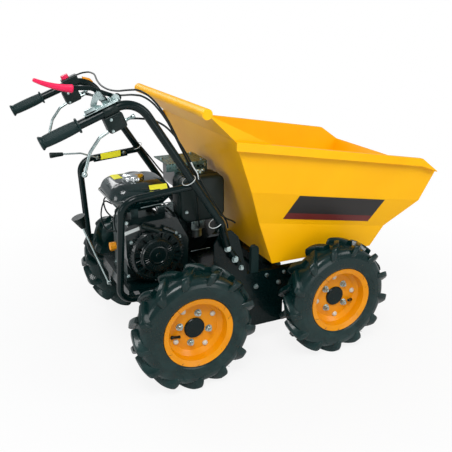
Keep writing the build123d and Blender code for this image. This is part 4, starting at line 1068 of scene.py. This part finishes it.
# %% Wires
WIRES_MM = [[(-404, 40, 470), (-428, 52, 500), (-432, 62, 536), (-412, 60, 556), (-396, 52, 548)],
            [(-404, 30, 430), (-436, 40, 440), (-446, 56, 486), (-430, 66, 530), (-404, 62, 520)],
            [(-404, -40, 440), (-424, -44, 462), (-426, -40, 500), (-412, -34, 540)]]
loops = [tube(route(line, 40), 2.6, 10) for line in WIRES_MM]
make_piece("engine_wires", loops, cable_sheath)

# %% [markdown]
# ## Cable ties
# White plastic-coated wires hold the cables to the tubes. Each is a wire round an ellipse square to its
# tube, and one has a long tail that stands up.

# %% Cable ties
DOWN_TUBE = np.array([0.539, 0.0, -0.843])
# Each tie: its place, its length and its width.
TIES_MM = (((-254, -272, 671), 54, 42), ((-243, 271, 664), 52, 38), ((-164, -266, 522), 56, 46))
TAIL_MM = [(-230, -290, 676), (-233, -288, 694), (-243, -284, 712), (-250, -282, 728)]
ties = [ring_wire(at(*place), DOWN_TUBE, FAR, long, wide, 1.1) for place, long, wide in TIES_MM]
ties.append(tube(route(TAIL_MM, 20), np.linspace(1.2, 2.6, 20), 8))
make_piece("cable_ties", ties, label_white)

# %% [markdown]
# ## Lamps
# The photograph is a cut-out on white, in the even light of a studio. Five square lamps give that
# light. The key lamp is the strongest, and the low ones reach the tyres' side walls.

# %% Lamps
def area_lamp(name, place, size, power, colour=(1, 1, 1)):
    """A square lamp that faces the machine's middle."""
    lamp = bpy.data.lights.new(name, "AREA")
    lamp.size, lamp.energy, lamp.color = size, power, colour
    holder = bpy.data.objects.new(name, lamp)
    bpy.context.scene.collection.objects.link(holder)
    holder.location = place
    holder.rotation_euler = (Vector((0, 0, 0.4)) - Vector(place)).to_track_quat("-Z", "Y").to_euler()


area_lamp("key_lamp", (-1.2, -2.4, 3.6), 1.7, 110)
area_lamp("front_lamp", (2.6, -2.4, 2.4), 1.6, 34)
area_lamp("side_lamp", (0.9, -2.9, 0.25), 1.0, 9)
area_lamp("back_lamp", (-2.7, -0.7, 0.9), 1.0, 12)
area_lamp("rim_lamp", (-1.0, 2.8, 2.6), 2.0, 40)

# %% [markdown]
# ## World
# To the camera the world is white, as the paper is. To every other ray it is pale and weak, or it
# would wash out the black parts; a Mix Shader tells the two kinds of ray apart.

# %% World
world = bpy.data.worlds.new("studio")
bpy.context.scene.world = world
world.use_nodes = True
sky = world.node_tree
seen = sky.nodes.new("ShaderNodeLightPath")
white, soft = sky.nodes["Background"], sky.nodes.new("ShaderNodeBackground")
white.inputs["Color"].default_value = (1, 1, 1, 1)
soft.inputs["Color"].default_value = (0.93, 0.96, 1.0, 1)
soft.inputs["Strength"].default_value = 0.4
blend = sky.nodes.new("ShaderNodeMixShader")
sky.links.new(seen.outputs["Is Camera Ray"], blend.inputs[0])
sky.links.new(soft.outputs[0], blend.inputs[1])
sky.links.new(white.outputs[0], blend.inputs[2])
sky.links.new(blend.outputs[0], sky.nodes["World Output"].inputs["Surface"])

# %% [markdown]
# ## Floor
# The floor is pale and keeps the machine's shadow. Seen by the camera it turns to paper white with
# the distance from the machine, so that no horizon shows.

# %% Floor
floor_paint = Paint("floor_pale", Roughness=0.8)
tone = floor_paint.noise(1.5, 2.0)
floor_paint.feed(Base_Color=floor_paint.mix(tone, (0.72, 0.72, 0.72, 1), (0.69, 0.69, 0.69, 1)))
away = floor_paint.node("ShaderNodeVectorMath", {"operation": "LENGTH"}, {0: floor_paint.place}, "Value")
camera_ray = floor_paint.node("ShaderNodeLightPath", {}, {}, "Is Camera Ray")
paper = floor_paint.node("ShaderNodeEmission", {}, {"Color": (1, 1, 1, 1), "Strength": 1.0})
lit = Field(floor_paint, floor_paint.shader.outputs[0])
paper_share = camera_ray * (floor_paint.ramp(away, 0.6, 1.6) * 0.14 + 0.86)
blended = floor_paint.node("ShaderNodeMixShader", {}, {0: paper_share, 1: lit, 2: paper})
floor_paint.tree.links.new(blended.socket, floor_paint.tree.nodes["Material Output"].inputs["Surface"])
FLOOR_REACH = 12.0
floor_mesh = bpy.data.meshes.new("floor")
floor_corners = [(x * FLOOR_REACH, y * FLOOR_REACH, 0) for x, y in ((-1, -1), (1, -1), (1, 1), (-1, 1))]
floor_mesh.from_pydata(floor_corners, [], [(0, 1, 2, 3)])
floor = bpy.data.objects.new("floor", floor_mesh)
bpy.context.scene.collection.objects.link(floor)
floor_mesh.materials.append(floor_paint.material)

# %% [markdown]
# ## Camera
# The camera's place and lens come from a fit of the machine's corners in the photograph. Its
# directions are built from a yaw, a pitch and a roll.

# %% Camera
CAMERA_PLACE = (-899.7, -1892.4, 1165.7)
YAW, PITCH, ROLL, LENS = 64.635, 20.128, 0.196, 48.47
yaw, pitch, roll = (math.radians(v) for v in (YAW, PITCH, ROLL))
look = np.array([math.cos(pitch) * math.cos(yaw), math.cos(pitch) * math.sin(yaw), -math.sin(pitch)])
level = np.cross(look, (0, 0, 1))
level /= np.linalg.norm(level)
upward = np.cross(level, look)
right = math.cos(roll) * level + math.sin(roll) * upward
top = math.cos(roll) * upward - math.sin(roll) * level
lens = bpy.data.cameras.new("camera")
lens.lens, lens.sensor_width, lens.sensor_fit = LENS, 36.0, "HORIZONTAL"
camera = bpy.data.objects.new("camera", lens)
bpy.context.scene.collection.objects.link(camera)
turned = Matrix(np.stack([right, top, -look], 1).tolist()).to_4x4()
camera.matrix_world = Matrix.Translation(Vector(at(*CAMERA_PLACE))) @ turned
bpy.context.scene.camera = camera
bpy.context.scene.view_settings.view_transform = "Standard"
print("camera at", [round(v, 3) for v in camera.location])
